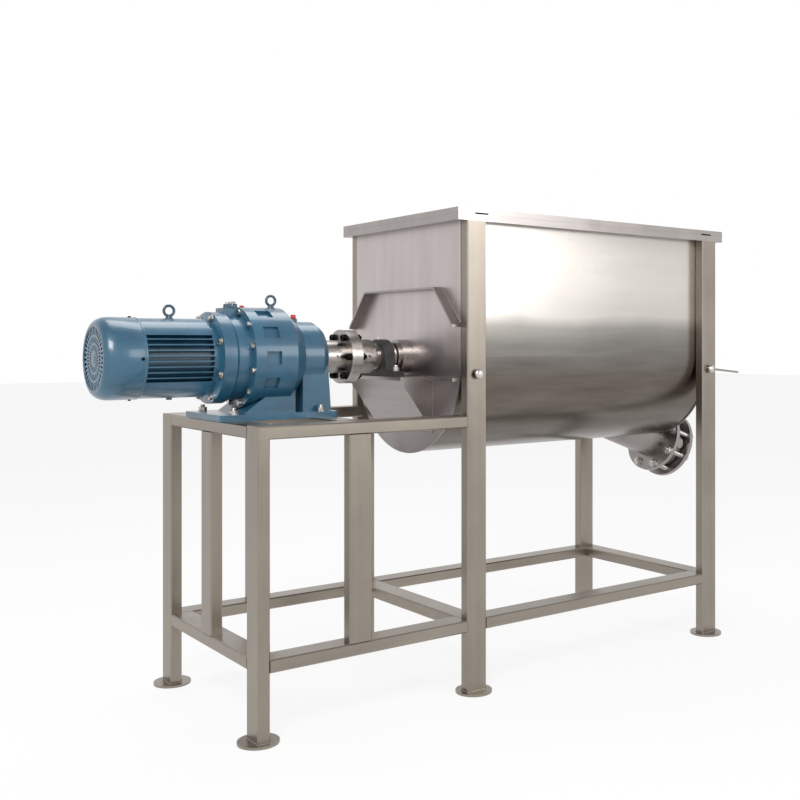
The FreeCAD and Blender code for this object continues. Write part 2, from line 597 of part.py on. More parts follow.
def fan_cover():
    """A pressed sheet cover: a shoulder and a flat end pierced by two rings of slots."""
    bore = MOTOR_RADIUS + JACKET_FIT
    end = COVER_X + COVER_LENGTH
    shoulder = bore - COVER_SHOULDER
    cover = turned_x(profile([
        (end, bore), (end, bore + COVER_SHEET), (COVER_X + COVER_BEND, bore + COVER_SHEET),
        (COVER_X + COVER_BEND / 4, shoulder + COVER_SHEET), (COVER_X, GRILLE_RADIUS), (COVER_X, 0),
        (COVER_X + COVER_SHEET, 0), (COVER_X + COVER_SHEET, GRILLE_RADIUS - COVER_SHEET),
        (COVER_X + COVER_BEND / 4 + COVER_SHEET, shoulder), (COVER_X + COVER_BEND, bore)]))
    slots = []
    for radius, count in ((GRILLE_RADIUS * 0.4, 10), (GRILLE_RADIUS * 0.78, 20)):
        slots += around(box(COVER_X - 1, COVER_X + COVER_SHEET + 1, -SLOT_WIDTH / 2, SLOT_WIDTH / 2,
                            AXIS_Z + radius - SLOT_LENGTH / 2, AXIS_Z + radius + SLOT_LENGTH / 2), count)
    return cover.cut(slots)


def cooling_fan():
    x0, x1 = STATOR_X - FAN_SETBACK, STATOR_X - FAN_SETBACK + FAN_WIDTH
    hub = rod_x(FAN_HUB_RADIUS, x0, x1)
    disc = rod_x(FAN_RADIUS, x1 - FAN_SHEET, x1)
    blade = box(x0 + FAN_SHEET, x1 - FAN_SHEET, -FAN_SHEET / 2, FAN_SHEET / 2,
                AXIS_Z + FAN_HUB_RADIUS - FAN_SHEET, AXIS_Z + FAN_RADIUS)
    fan = fuse([hub, disc] + around(blade, FAN_BLADES))
    return fan.cut(rod_x(MOTOR_SHAFT_RADIUS, x0, x1))


# --- reducer -------------------------------------------------------------------------------------
def reducer():
    bolt_circle = RING_RADIUS - 13
    neck = RING_RADIUS - 27
    ear = RING_X - 12
    adapter = turned_x(profile([
        (ADAPTER_X, MOTOR_SHAFT_RADIUS + RUN_FIT), (ADAPTER_X, MOTOR_FLANGE_RADIUS),
        (ADAPTER_X + 24, MOTOR_FLANGE_RADIUS), (ADAPTER_X + 34, neck), (ear, neck),
        (ear, RING_RADIUS), (RING_X, RING_RADIUS), (RING_X, MOTOR_SHAFT_RADIUS + RUN_FIT)]))
    lantern = box(ADAPTER_X + 24, ear, -29, 29, AXIS_Z + neck - 30, AXIS_Z + RING_RADIUS - 4)
    for side in (-1, 1):
        lantern = lantern.cut(box(ADAPTER_X + 34, ear - 8, side * 14 - 10, side * 14 + 10,
                                  AXIS_Z + RING_RADIUS - 18, AXIS_Z + RING_RADIUS))
    adapter = adapter.fuse(lantern).removeSplitter()

    ring = rod_x(RING_RADIUS, RING_X, RING_X + RING_LENGTH)
    pocket = box(RING_X + 24, RING_X + RING_LENGTH - 22, -21, 21, AXIS_Z + RING_RADIUS - 11,
                 AXIS_Z + RING_RADIUS + 5)
    ring = ring.cut(around(pocket, RING_POCKETS))

    flange_end = RING_X + RING_LENGTH
    waist = flange_end + 36
    body_x = NOSE_X - 43
    casting = turned_x(profile([
        (flange_end, 0), (flange_end, RING_RADIUS), (waist, RING_RADIUS),
        (waist + 50, OUTPUT_HOUSING_RADIUS), (body_x, OUTPUT_HOUSING_RADIUS),
        (NOSE_X - 22, OUTPUT_HOUSING_RADIUS - 14), (NOSE_X - 7, NOSE_RADIUS + 22),
        (NOSE_X, NOSE_RADIUS), (NOSE_X, 0)]))

    base_top = TABLE_HEIGHT + BASE_THICKNESS
    half = OUTPUT_HOUSING_RADIUS - 14
    stand = prism_y([(BASE_X + 96, base_top), (flange_end - 8, AXIS_Z - 96), (flange_end, AXIS_Z),
                     (NOSE_X - 30, AXIS_Z), (NOSE_X - 22, AXIS_Z - 50), (BASE_X + BASE_LENGTH - 4, base_top)],
                    -half, half)
    slot = flange_end + 54
    for side in (-1, 1):
        stand = stand.cut(box(slot, slot + 27, min(side * (half - 45), side * half),
                              max(side * (half - 45), side * half), base_top, AXIS_Z - 62))
    under = rod_x(RING_RADIUS + JACKET_FIT, BASE_X, flange_end)
    base = box(BASE_X, BASE_X + BASE_LENGTH, -BASE_WIDTH / 2, BASE_WIDTH / 2, TABLE_HEIGHT, base_top)
    base = base.makeFillet(12, [e for e in base.Edges if abs(e.tangentAt(e.FirstParameter).z) > 0.9])
    casting = fuse([casting, stand.cut(under), base])
    casting = casting.cut(rod_x(OUTPUT_RADIUS + RUN_FIT, NOSE_X - 70, NOSE_X))

    studs = []
    for x in (RAIL_CENTRE, RAIL_CENTRE + BASE_BOLT_SPAN):
        for y in (-BASE_BOLT_WIDTH / 2, BASE_BOLT_WIDTH / 2):
            casting = casting.cut(rod_z(BASE_STUD_RADIUS + HOLE_FIT, x, y, TABLE_HEIGHT, base_top))
            studs.append(fuse([
                shank(BASE_STUD_RADIUS, BASE_THICKNESS + STUD_NUT + STUD_END, Vector(x, y, TABLE_HEIGHT),
                      AXIS_UP),
                hexagon(STUD_FLATS, STUD_NUT, Vector(x, y, base_top), AXIS_UP)]))

    bolt = hexagon(16, 9, Vector(ear - 9, 0, AXIS_Z + bolt_circle), AXIS_X)
    plug_seat = AXIS_Z + OUTPUT_HOUSING_RADIUS + 10
    casting = fuse([casting, rod_z(13, waist + 62, 0, plug_seat - 20, plug_seat)])
    plug = hexagon(20, 14, Vector(waist + 62, 0, plug_seat), AXIS_UP)
    vent = rod_z(8, RING_X + 10, 0, AXIS_Z + RING_RADIUS, AXIS_Z + RING_RADIUS + 6)
    return {
        "reducer_adapter": adapter,
        "reducer_ring": ring,
        "reducer_pedestal": casting,
        "reducer_bolts": group(around(bolt, RING_POCKETS, 360 / RING_POCKETS / 2)),
        "pedestal_studs": group(studs),
        "oil_plugs": group([plug, vent]),
    }


# --- coupling and rotor --------------------------------------------------------------------------
def coupling():
    hub_end = COUPLING_X + COUPLING_FLANGE + HUB_LENGTH
    first = fuse([rod_x(HUB_RADIUS, HUB_X, COUPLING_X),
                  rod_x(COUPLING_RADIUS, COUPLING_X - COUPLING_FLANGE, COUPLING_X)])
    second = fuse([rod_x(HUB_RADIUS + 3, COUPLING_X, hub_end),
                   rod_x(COUPLING_RADIUS, COUPLING_X, COUPLING_X + COUPLING_FLANGE)])
    first = first.cut(rod_x(OUTPUT_RADIUS, HUB_X, COUPLING_X))
    second = second.cut(rod_x(SHAFT_RADIUS, COUPLING_X, hub_end))
    y0, y1 = COUPLING_X - COUPLING_FLANGE, COUPLING_X + COUPLING_FLANGE
    hole = rod_x(COUPLING_BOLT_RADIUS + HOLE_FIT, y0, y1, 0, AXIS_Z + COUPLING_BOLT_CIRCLE)
    holes = around(hole, COUPLING_BOLTS, 30)
    head = SOCKET_HEAD_LENGTH
    seat = Vector(y0 - head / 2, 0, AXIS_Z + COUPLING_BOLT_CIRCLE)
    bolt = fuse([
        rod_x(SOCKET_HEAD_RADIUS, y0 - head, y0, 0, AXIS_Z + COUPLING_BOLT_CIRCLE),
        shank(COUPLING_BOLT_RADIUS, y1 - y0 + head / 2 + STUD_NUT + STUD_END, seat, AXIS_X),
        hexagon(STUD_FLATS, STUD_NUT, Vector(y1, 0, AXIS_Z + COUPLING_BOLT_CIRCLE), AXIS_X)])
    screws = [rod_y(6, HUB_X + HUB_LENGTH * 0.45, -HUB_RADIUS - 5, -HUB_RADIUS + 6, AXIS_Z),
              rod_y(6, hub_end - HUB_LENGTH * 0.4, -HUB_RADIUS - 5, -HUB_RADIUS + 6, AXIS_Z)]
    return {
        "coupling_half_reducer": first.cut(holes + screws[:1]),
        "coupling_half_mixer": second.cut(holes + screws[1:]),
        "coupling_bolts": group(around(bolt, COUPLING_BOLTS, 30)),
        "output_shaft": rod_x(OUTPUT_RADIUS, NOSE_X - 60, COUPLING_X),
    }


def ribbon(outer_radius, width, x0, x1, start, hand):
    """A flat strip standing on edge along a helix about the shaft; hand is +1 or -1."""
    length = x1 - x0 - RIBBON_THICKNESS
    helix = Part.makeHelix(length / RIBBON_TURNS, length, outer_radius - width / 2, 0, hand < 0)
    inner, outer = outer_radius - width, outer_radius
    half = RIBBON_THICKNESS / 2
    section = Part.makePolygon([Vector(inner, 0, -half), Vector(outer, 0, -half), Vector(outer, 0, half),
                                Vector(inner, 0, half), Vector(inner, 0, -half)])
    strip = Part.Wire(helix).makePipeShell([section], True, True)
    strip.rotate(Vector(0, 0, 0), AXIS_UP, start)
    strip.rotate(Vector(0, 0, 0), AXIS_Y, 90)
    strip.translate(Vector(x0 + half, 0, AXIS_Z))
    return strip


def rotor():
    x0 = TROUGH_X + END_PLATE_THICKNESS + RIBBON_END_GAP
    x1 = TROUGH_END - END_PLATE_THICKNESS - RIBBON_END_GAP
    outer_radius = INNER_RADIUS - RIBBON_GAP
    outer = [ribbon(outer_radius, OUTER_RIBBON_WIDTH, x0, x1, start, 1) for start in (0, 180)]
    inner = [ribbon(INNER_RIBBON_RADIUS, INNER_RIBBON_WIDTH, x0, x1, start, -1) for start in (0, 180)]

    # Where the two helices cross, every quarter turn, flat bars on edge carry both ribbons.
    spokes = []
    stations = int(4 * RIBBON_TURNS) + 1
    spacing = (x1 - x0 - RIBBON_THICKNESS) / RIBBON_TURNS / 4
    for k in range(stations):
        x = min(max(x0 + RIBBON_THICKNESS / 2 + spacing * k, x0 + SPOKE_WIDTH / 2), x1 - SPOKE_WIDTH / 2)
        for low, high in ((SHAFT_RADIUS, INNER_RIBBON_RADIUS - INNER_RIBBON_WIDTH),
                          (INNER_RIBBON_RADIUS, outer_radius - OUTER_RIBBON_WIDTH)):
            half = SPOKE_THICKNESS / 2
            bar = box(x - SPOKE_WIDTH / 2, x + SPOKE_WIDTH / 2, -half, half, AXIS_Z + low - 5, AXIS_Z + high)
            bar = bar.common(rod_x(high, x - SPOKE_WIDTH, x + SPOKE_WIDTH))
            bar = bar.cut(rod_x(low, x - SPOKE_WIDTH, x + SPOKE_WIDTH))
            spokes += around(bar, 2, 90 * k)
    shaft_end = 2 * TROUGH_MIDDLE - BEARING_X + BEARING_WIDTH / 2 + SHAFT_STUB
    return {
        "main_shaft": rod_x(SHAFT_RADIUS, COUPLING_X, shaft_end),
        "ribbon_spokes": group(spokes),
        "outer_ribbons": group(outer),
        "inner_ribbons": group(inner),
    }


# --- discharge -----------------------------------------------------------------------------------
def pipe_ring(outer, inner, s0, s1):
    """A ring about the spout's axis in its local frame, between two stations along the flow."""
    ring = Part.makeCylinder(outer, s1 - s0, Vector(0, 0, s0))
    return ring.cut(Part.makeCylinder(inner, s1 - s0, Vector(0, 0, s0)))


def bolt_holes(s0, s1):
    holes = []
    for k in range(FLANGE_BOLTS):
        angle = math.radians(360 * (k + 0.5) / FLANGE_BOLTS)
        centre = Vector(FLANGE_BOLT_CIRCLE * math.cos(angle), FLANGE_BOLT_CIRCLE * math.sin(angle), s0)
        holes.append(Part.makeCylinder(FLANGE_BOLT_RADIUS + 1, s1 - s0, centre))
    return holes


def discharge():
    pipe = spout_core(PIPE_RADIUS).cut(spout_core(PIPE_BORE))
    inside = trough_section(INNER_RADIUS, TROUGH_X, TROUGH_END - END_PLATE_THICKNESS)
    pipe = pipe.cut(inside)
    flange = pipe_ring(FLANGE_RADIUS, PIPE_BORE, 0, FLANGE_THICKNESS).cut(bolt_holes(0, FLANGE_THICKNESS))
    spout = fuse([pipe, on_spout(flange)])

    far = SPOUT_STACK - FLANGE_THICKNESS
    outlet = pipe_ring(FLANGE_RADIUS, PIPE_BORE, far, SPOUT_STACK).cut(bolt_holes(far, SPOUT_STACK))

    body_end = VALVE_FACE + VALVE_WIDTH
    body = pipe_ring(VALVE_RADIUS, PIPE_BORE, VALVE_FACE, body_end)
    neck = Part.makeCylinder(NECK_RADIUS, NECK_REACH - VALVE_RADIUS + 10,
                             Vector(0, VALVE_RADIUS - 10, VALVE_MIDDLE), AXIS_Y)
    boss = Part.makeCylinder(NECK_RADIUS, 26, Vector(0, -VALVE_RADIUS - 12, VALVE_MIDDLE), AXIS_Y)
    plate = Part.makeBox(70, 10, 60, Vector(-35, NECK_REACH - 10, VALVE_MIDDLE - 30))
    bore = Part.makeCylinder(PIPE_BORE, VALVE_WIDTH, Vector(0, 0, VALVE_FACE))
    stem_low = -VALVE_RADIUS + 2
    lever_y = NECK_REACH + SEAT_GAP
    stem_hole = Part.makeCylinder(STEM_RADIUS + RUN_FIT, NECK_REACH - stem_low,
                                  Vector(0, stem_low, VALVE_MIDDLE), AXIS_Y)
    body = fuse([body, neck, boss, plate]).cut([bore, stem_hole])

    seat = Part.makeCylinder(VALVE_RADIUS - 2, SEAT_LIP, Vector(0, 0, FLANGE_THICKNESS))
    seat = fuse([seat, Part.makeCylinder(PIPE_BORE, VALVE_WIDTH, Vector(0, 0, VALVE_FACE)),
                 Part.makeCylinder(VALVE_RADIUS - 2, SEAT_LIP, Vector(0, 0, body_end))])
    seat = seat.cut([Part.makeCylinder(SEAT_BORE, SPOUT_STACK, Vector(0, 0, 0)), stem_hole])

    disc_radius = math.sqrt((SEAT_BORE - SEAT_GAP) ** 2 - (DISC_THICKNESS / 2) ** 2)
    disc = Part.makeCylinder(disc_radius, DISC_THICKNESS,
                             Vector(0, 0, VALVE_MIDDLE - DISC_THICKNESS / 2))
    hub_half = math.sqrt((SEAT_BORE - SEAT_GAP) ** 2 - (STEM_RADIUS + 6) ** 2)
    hub = Part.makeCylinder(STEM_RADIUS + 6, 2 * hub_half, Vector(0, -hub_half, VALVE_MIDDLE), AXIS_Y)
    stem_end = lever_y + LEVER_THICKNESS + 6
    stem = Part.makeCylinder(STEM_RADIUS, stem_end - stem_low - 1, Vector(0, stem_low + 1, VALVE_MIDDLE),
                             AXIS_Y)
    disc = fuse([disc, hub]).cut(stem)

    # Shut, the lever points up across the pipe: towards -X in the spout's frame.
    lever = fuse([
        Part.makeCylinder(LEVER_WIDTH / 2 + 4, LEVER_THICKNESS, Vector(0, lever_y, VALVE_MIDDLE), AXIS_Y),
        Part.makeBox(LEVER_LENGTH - LEVER_WIDTH / 2, LEVER_THICKNESS, LEVER_WIDTH,
                     Vector(-LEVER_LENGTH + LEVER_WIDTH / 2, lever_y, VALVE_MIDDLE - LEVER_WIDTH / 2)),
        Part.makeCylinder(LEVER_WIDTH / 2, LEVER_THICKNESS,
                          Vector(-LEVER_LENGTH + LEVER_WIDTH / 2, lever_y, VALVE_MIDDLE), AXIS_Y)])
    lever = lever.cut(stem)

    studs = []
    for k in range(FLANGE_BOLTS):
        angle = math.radians(360 * (k + 0.5) / FLANGE_BOLTS)
        x, y = FLANGE_BOLT_CIRCLE * math.cos(angle), FLANGE_BOLT_CIRCLE * math.sin(angle)
        studs.append(fuse([
            shank(FLANGE_BOLT_RADIUS, SPOUT_STACK + 2 * (FLANGE_NUT + FLANGE_STUD_END),
                  Vector(x, y, -FLANGE_NUT - FLANGE_STUD_END), AXIS_UP),
            hexagon(FLANGE_FLATS, FLANGE_NUT, Vector(x, y, -FLANGE_NUT), AXIS_UP),
            hexagon(FLANGE_FLATS, FLANGE_NUT, Vector(x, y, SPOUT_STACK), AXIS_UP)]))
    return {
        "discharge_spout": spout,
        "outlet_flange": on_spout(outlet),
        "valve_body": on_spout(body),
        "valve_seat": on_spout(seat),
        "valve_disc": on_spout(disc),
        "valve_stem": on_spout(stem),
        "valve_lever": on_spout(lever),
        "flange_studs": on_spout(group(studs)),
    }


# --- studs and swing rod on the trough legs ------------------------------------------------------
def leg_fittings():
    front = -HALF_WIDTH
    eye = 2 * ROD_RADIUS
    stand = eye + 2 * SEAT_GAP
    studs = []
    for x in (TROUGH_X + TUBE_WIDE / 2, KNOB_X):
        dome = Part.makeCone(KNOB_RADIUS, KNOB_RADIUS * 0.6, KNOB_THICKNESS,
                             Vector(x, front - stand, KNOB_Z), -AXIS_Y)
        studs.append(fuse([rod_y(KNOB_STUD_RADIUS, x, front - stand, front, KNOB_Z), dome]))
    y = front - stand / 2
    rod = fuse([
        rod_y(ROD_EYE_RADIUS, KNOB_X, y - eye / 2, y + eye / 2, KNOB_Z),
        Part.makeCylinder(ROD_RADIUS - 0.2, ROD_LENGTH, Vector(KNOB_X, y, KNOB_Z), AXIS_X)])
    rod = rod.cut(rod_y(KNOB_STUD_RADIUS + RUN_FIT, KNOB_X, front - stand, front, KNOB_Z))
    rod.rotate(Vector(KNOB_X, y, KNOB_Z), AXIS_Y, ROD_SAG)
    return {"leg_studs": group(studs), "swing_rod": rod}


def build():
    """Every named piece, in the frame whose origin is the middle of the bounding box's floor."""
    pieces = {}
    for make in (frame, trough, brackets, bearings, lid, motor, reducer, coupling, rotor, discharge,
                 leg_fittings):
        pieces.update(make())
    bounds = FreeCAD.BoundBox()
    for shape in pieces.values():
        bounds.add(shape.BoundBox)
    origin = Vector(-bounds.Center.x, -bounds.Center.y, -bounds.ZMin)
    for shape in pieces.values():
        shape.translate(origin)
    return pieces, origin


def main():
    os.makedirs("parts", exist_ok=True)
    pieces, _ = build()
    for name, shape in pieces.items():
        shape.exportStep(f"parts/{name}.step")


if __name__ == "__main__":
    main()
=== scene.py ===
"""Looks of a ribbon blender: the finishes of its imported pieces, the small parts that dress them, and
the stage that it stands on.

Metres, +Z up.  X runs from the motor to the discharge spout, Y from the operator's side to the lid's
hinges, and the machine's shaft lies along X.  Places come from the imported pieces.
"""
import math

import bmesh
import bpy
from bpy.props import FloatProperty, FloatVectorProperty, IntProperty, PointerProperty
from mathutils import Matrix, Vector


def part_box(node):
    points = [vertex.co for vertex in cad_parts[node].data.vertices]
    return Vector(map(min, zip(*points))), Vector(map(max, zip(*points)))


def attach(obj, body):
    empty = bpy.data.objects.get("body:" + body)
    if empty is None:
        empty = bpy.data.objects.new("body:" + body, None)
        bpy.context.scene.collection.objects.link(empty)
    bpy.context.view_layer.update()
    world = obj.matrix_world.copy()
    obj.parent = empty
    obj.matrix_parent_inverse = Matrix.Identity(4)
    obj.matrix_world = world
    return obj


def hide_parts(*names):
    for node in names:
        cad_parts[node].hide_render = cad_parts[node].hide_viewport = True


bl_info = {
    "name": "Ribbon blender looks",
    "version": (1, 0, 0),
    "blender": (4, 5, 0),
    "location": "3D View > Sidebar > Ribbon blender",
    "description": "Finishes a packed ribbon blender and adds its covers, fasteners, welds and stage",
    "category": "Object",
}

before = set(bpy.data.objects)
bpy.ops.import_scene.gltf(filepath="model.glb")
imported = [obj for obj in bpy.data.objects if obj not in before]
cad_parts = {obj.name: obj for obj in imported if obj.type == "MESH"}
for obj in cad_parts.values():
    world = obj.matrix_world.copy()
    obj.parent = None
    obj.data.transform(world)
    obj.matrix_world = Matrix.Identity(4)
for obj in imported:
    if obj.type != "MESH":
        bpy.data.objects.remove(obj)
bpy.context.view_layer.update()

AXIS_X = Vector((1, 0, 0))
AXIS_Y = Vector((0, 1, 0))
UP = Vector((0, 0, 1))


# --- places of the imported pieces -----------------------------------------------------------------
def middle(node):
    low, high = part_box(node)
    return (low + high) / 2


def solids(node):
    """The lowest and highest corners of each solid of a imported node."""
    mesh = bmesh.new()
    mesh.from_mesh(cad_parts[node].data)
    bmesh.ops.remove_doubles(mesh, verts=mesh.verts, dist=1e-6)
    left, found = set(mesh.verts), []
    while left:
        reached, edge = set(), [left.pop()]
        while edge:
            vertex = edge.pop()
            reached.add(vertex)
            for line in vertex.link_edges:
                other = line.other_vert(vertex)
                if other in left:
                    left.remove(other)
                    edge.append(other)
        places = [v.co.copy() for v in reached]
        found.append((Vector(map(min, zip(*places))), Vector(map(max, zip(*places)))))
    mesh.free()
    return sorted(found, key=lambda corners: tuple(round(c, 4) for c in corners[0]))


SHAFT_Z = middle("main_shaft").z
PLATE_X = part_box("end_plate_drive")[0].x
FAR_PLATE_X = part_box("end_plate_discharge")[1].x


# --- sizes and colours ---------------------------------------------------------------------------
def length(name, description, metres):
    return FloatProperty(name=name, description=description, default=metres, unit="LENGTH", precision=4)


def colour(name, description, red, green, blue):
    return FloatVectorProperty(name=name, description=description, default=(red, green, blue),
                               subtype="COLOR", size=3, min=0, max=1)


class CoverSizes(bpy.types.PropertyGroup):
    sheet: length("Sheet", "Thickness of the fan cover's sheet", 0.002)
    bend: length("Bend", "Length of the cover's rounded shoulder", 0.042)
    face_radius: length("Face radius", "Radius of the pierced end inside the shoulder", 0.101)
    bead: length("Bead", "Width of the raised bead round the pierced end", 0.004)
    recess: length("Recess", "Depth of the pierced end inside its bead", 0.003)
    boss_radius: length("Boss radius", "Radius of the closed middle of the pierced end", 0.016)
    ribs: IntProperty(name="Ribs", description="Ribs between the slots of the outer ring", default=36)


class FastenerSizes(bpy.types.PropertyGroup):
    stud_radius: length("Stud radius", "Studs of the reducer and the bearings", 0.008)
    stud_flats: length("Nut across flats", "Nuts of the reducer and the bearings", 0.024)
    stud_nut: length("Nut height", "Nuts of the reducer and the bearings", 0.013)
    stud_end: length("Stud end", "Stud past its nut", 0.008)
    flange_radius: length("Flange stud radius", "Studs of the discharge flanges", 0.010)
    flange_flats: length("Flange nut across flats", "Nuts of the discharge flanges", 0.030)
    flange_nut: length("Flange nut height", "Nuts of the discharge flanges", 0.014)
    flange_end: length("Flange stud end", "Flange stud past its nut", 0.006)
    washer: length("Washer", "Thickness of a washer under a nut", 0.002)
    pitch: length("Pitch", "Pitch of the studs' threads", 0.0025)
    socket_radius: length("Socket head radius", "Socket heads on the coupling", 0.012)
    socket_head: length("Socket head height", "Socket heads on the coupling", 0.014)
    knob_radius: length("Knob radius", "Domed knobs on the trough legs", 0.017)
    knob_height: length("Knob height", "Domed knobs on the trough legs", 0.012)
    spout_fall: FloatProperty(name="Spout fall", description="Fall of the discharge spout",
                              default=math.radians(20), subtype="ANGLE")


class TrimSizes(bpy.types.PropertyGroup):
    eye_radius: length("Eye radius", "Lifting eye, to the middle of its ring", 0.016)
    eye_wire: length("Eye wire", "Radius of the lifting eye's ring", 0.0045)
    eye_stem: length("Eye stem", "Collar below the lifting eye", 0.008)
    bead: length("Weld bead", "Radius of a weld bead", 0.0022)
    ripple: length("Weld ripple", "Spacing of the ripples along a weld bead", 0.007)
    strip_height: length("Strip height", "From a strip's lower ends up to its level top", 0.130)
    strip_half: length("Strip half width", "Half of the width of a strip's level top", 0.235)


class Colours(bpy.types.PropertyGroup):
    tube: colour("Tube steel", "Satin steel of the frame's tubes", 0.300, 0.265, 0.225)
    # The two wall colours are painted light: the upper one is the steel's colour with a painted reflection,
    # the lower one is painted shade.
    panel: colour("Panel steel", "Brushed steel of the end plates", 0.520, 0.470, 0.465)
    wall_painted_reflection: colour("Wall, upper", "Polished wall where it faces the room", 0.760, 0.720, 0.670)
    wall_painted_shade: colour("Wall, lower", "Polished wall where it turns under", 0.105, 0.086, 0.070)
    lid: colour("Lid steel", "Brushed steel of the lid and rim", 0.370, 0.340, 0.328)
    bracket: colour("Bracket steel", "Duller steel of the brackets and strips", 0.330, 0.300, 0.290)
    machined: colour("Machined steel", "Turned steel of shafts and couplings", 0.360, 0.335, 0.315)
    paint: colour("Drive paint", "Gloss paint of the motor and reducer", 0.010, 0.080, 0.145)
    iron: colour("Bearing iron", "Cast iron of the bearings", 0.040, 0.039, 0.038)
    black: colour("Black bolts", "Blackened socket screws and the fan", 0.012, 0.012, 0.013)
    bright: colour("Bright bolts", "Plated nuts and studs", 0.560, 0.545, 0.520)
    rubber: colour("Rubber", "Seals and the valve's liner", 0.022, 0.022, 0.022)
    plug: colour("Plugs", "Red caps of the oil plugs", 0.420, 0.030, 0.022)


class StageSettings(bpy.types.PropertyGroup):
    floor_size: length("Floor", "Side of the square floor", 60.0)
    key_power: FloatProperty(name="Key lamp", description="Large soft lamp at the front left",
                             default=230.0, unit="POWER")
    fill_power: FloatProperty(name="Fill lamp", description="Soft lamp at the front right",
                              default=70.0, unit="POWER")
    top_power: FloatProperty(name="Top lamp", description="Soft lamp over the machine",
                             default=70.0, unit="POWER")
    room: FloatProperty(name="Room light", description="Brightness of the light from all round",
                        default=0.5, min=0)
    lens: FloatProperty(name="Lens", description="Focal length of the camera", default=47.4)


class Settings(bpy.types.PropertyGroup):
    cover: PointerProperty(type=CoverSizes)
    fasteners: PointerProperty(type=FastenerSizes)
    trim: PointerProperty(type=TrimSizes)
    colours: PointerProperty(type=Colours)
    stage: PointerProperty(type=StageSettings)


# --- finishes ------------------------------------------------------------------------------------
# How a pattern is drawn out: a small number is the direction in which its streaks run.
EVEN = (1, 1, 1)
UPRIGHT, ALONG, ACROSS = (34, 34, 1.6), (1.6, 34, 34), (34, 1.6, 34)
RIBBON_GRAIN = (9, 9, 9)
PLATE_SMEARS = (2, 17, 1.6)
WALL_GRAIN = (3, 3, 26)
TOOL_RINGS = (260, 3, 3)

# The wall's colour up its height, from WALL_FOOT over WALL_RISE, is painted light: painted shade, dark
# and brown, where the wall turns under, and above it the steel's colour with a painted reflection in a
# bright band. Pairs of a share of that rise and the strength there of the lower tone, then of the upper
# one.
WALL_FOOT, WALL_RISE = SHAFT_Z - 0.35, 0.85
WALL_PAINTED_SHADE = ((0.00, 0.92), (0.30, 1.05))
WALL_PAINTED_REFLECTION = ((0.46, 0.24), (0.53, 0.40), (0.585, 0.80), (0.72, 0.90), (0.86, 0.84), (0.97, 0.62))

# The end plates darken below PLATE_SHADE, by PLATE_FADE for each metre: painted shade.
PLATE_SHADE, PLATE_FADE = SHAFT_Z + 0.10, 2.6
PAINT_DUST = (0.070, 0.160, 0.230, 1.0)
DARK_PAINT = 0.5


class Amount:
    """A number that varies over a surface: an output socket that takes part in sums."""

    def __init__(self, tree, socket):
        self.tree, self.socket = tree, socket

    def combined(self, operation, first, second):
        node = self.tree.nodes.new("ShaderNodeMath")
        node.operation = operation
        for socket, value in zip(node.inputs, (first, second)):
            if isinstance(value, Amount):
                self.tree.links.new(value.socket, socket)
            else:
                socket.default_value = value
        return Amount(self.tree, node.outputs[0])

    def __add__(self, other):
        return self.combined("ADD", self, other)

    __radd__ = __add__

    def __sub__(self, other):
        return self.combined("SUBTRACT", self, other)

    def __rsub__(self, other):
        return self.combined("SUBTRACT", other, self)

    def __mul__(self, other):
        return self.combined("MULTIPLY", self, other)

    __rmul__ = __mul__


class NodeMaker:
    """Adds nodes to one tree."""

    def __init__(self, tree):
        self.tree = tree

    def add(self, kind, settings=(), sockets=(), output=0):
        """Any node but a sum: its settings come first, then the values or links of its sockets."""
        node = self.tree.nodes.new(kind)
        for label, value in dict(settings).items():
            if label == "stops":
                for stop, (place, tone) in zip(self.stops_of(node, len(value)), value):
                    stop.position, stop.color = place, tone
            else:
                setattr(node, label, value)
        for label, value in dict(sockets).items():
            if isinstance(value, Amount):
                self.tree.links.new(value.socket, node.inputs[label])
            else:
                node.inputs[label].default_value = value
        return None if output is None else Amount(self.tree, node.outputs[output])

    @staticmethod
    def stops_of(node, count):
        stops = node.color_ramp.elements
        while len(stops) < count:
            stops.new(1)
        return stops

    def noise(self, scale, stretch=EVEN, detail=4.0, roughness=0.55):
        """Noise over the piece's own coordinates, drawn out where stretch is small."""
        here = self.add("ShaderNodeTexCoord", output="Object")
        here = self.add("ShaderNodeMapping", {"vector_type": "POINT"}, {"Vector": here, "Scale": stretch})
        return self.add("ShaderNodeTexNoise", {}, {"Vector": here, "Scale": scale, "Detail": detail,
                                                   "Roughness": roughness})

    def height(self):
        """Height over the floor."""
        here = self.add("ShaderNodeTexCoord", output="Object")
        return self.add("ShaderNodeSeparateXYZ", {}, {"Vector": here}, output="Z")

    def mix(self, factor, first, second):
        """A colour between two.  The node's kinds share socket names, so its sockets go by number."""
        return self.add("ShaderNodeMix", {"data_type": "RGBA"}, {0: factor, 6: first, 7: second}, output=2)


class Finish(NodeMaker):
    """A material with one shader: constants on its own sockets, and the nodes that vary the rest."""

    def __init__(self, name, **constants):
        self.material = bpy.data.materials.new(name)
        self.material.use_nodes = True
        super().__init__(self.material.node_tree)
        self.shader = self.tree.nodes["Principled BSDF"]
        for label, value in constants.items():
            self.shader.inputs[label.replace("_", " ").title()].default_value = value

    def feed(self, label, amount):
        self.tree.links.new(amount.socket, self.shader.inputs[label])

    def bump(self, height, strength, distance):
        self.feed("Normal", self.add("ShaderNodeBump", {}, {
            "Height": height, "Strength": strength, "Distance": distance}))


def toned(tone, factor=1.0):
    return tuple(min(1.0, c * factor) for c in tone) + (1.0,)


def spread(amount, gain):
    """Noise lies close to a half; this spreads it about there."""
    return amount * gain + (0.5 - gain / 2)


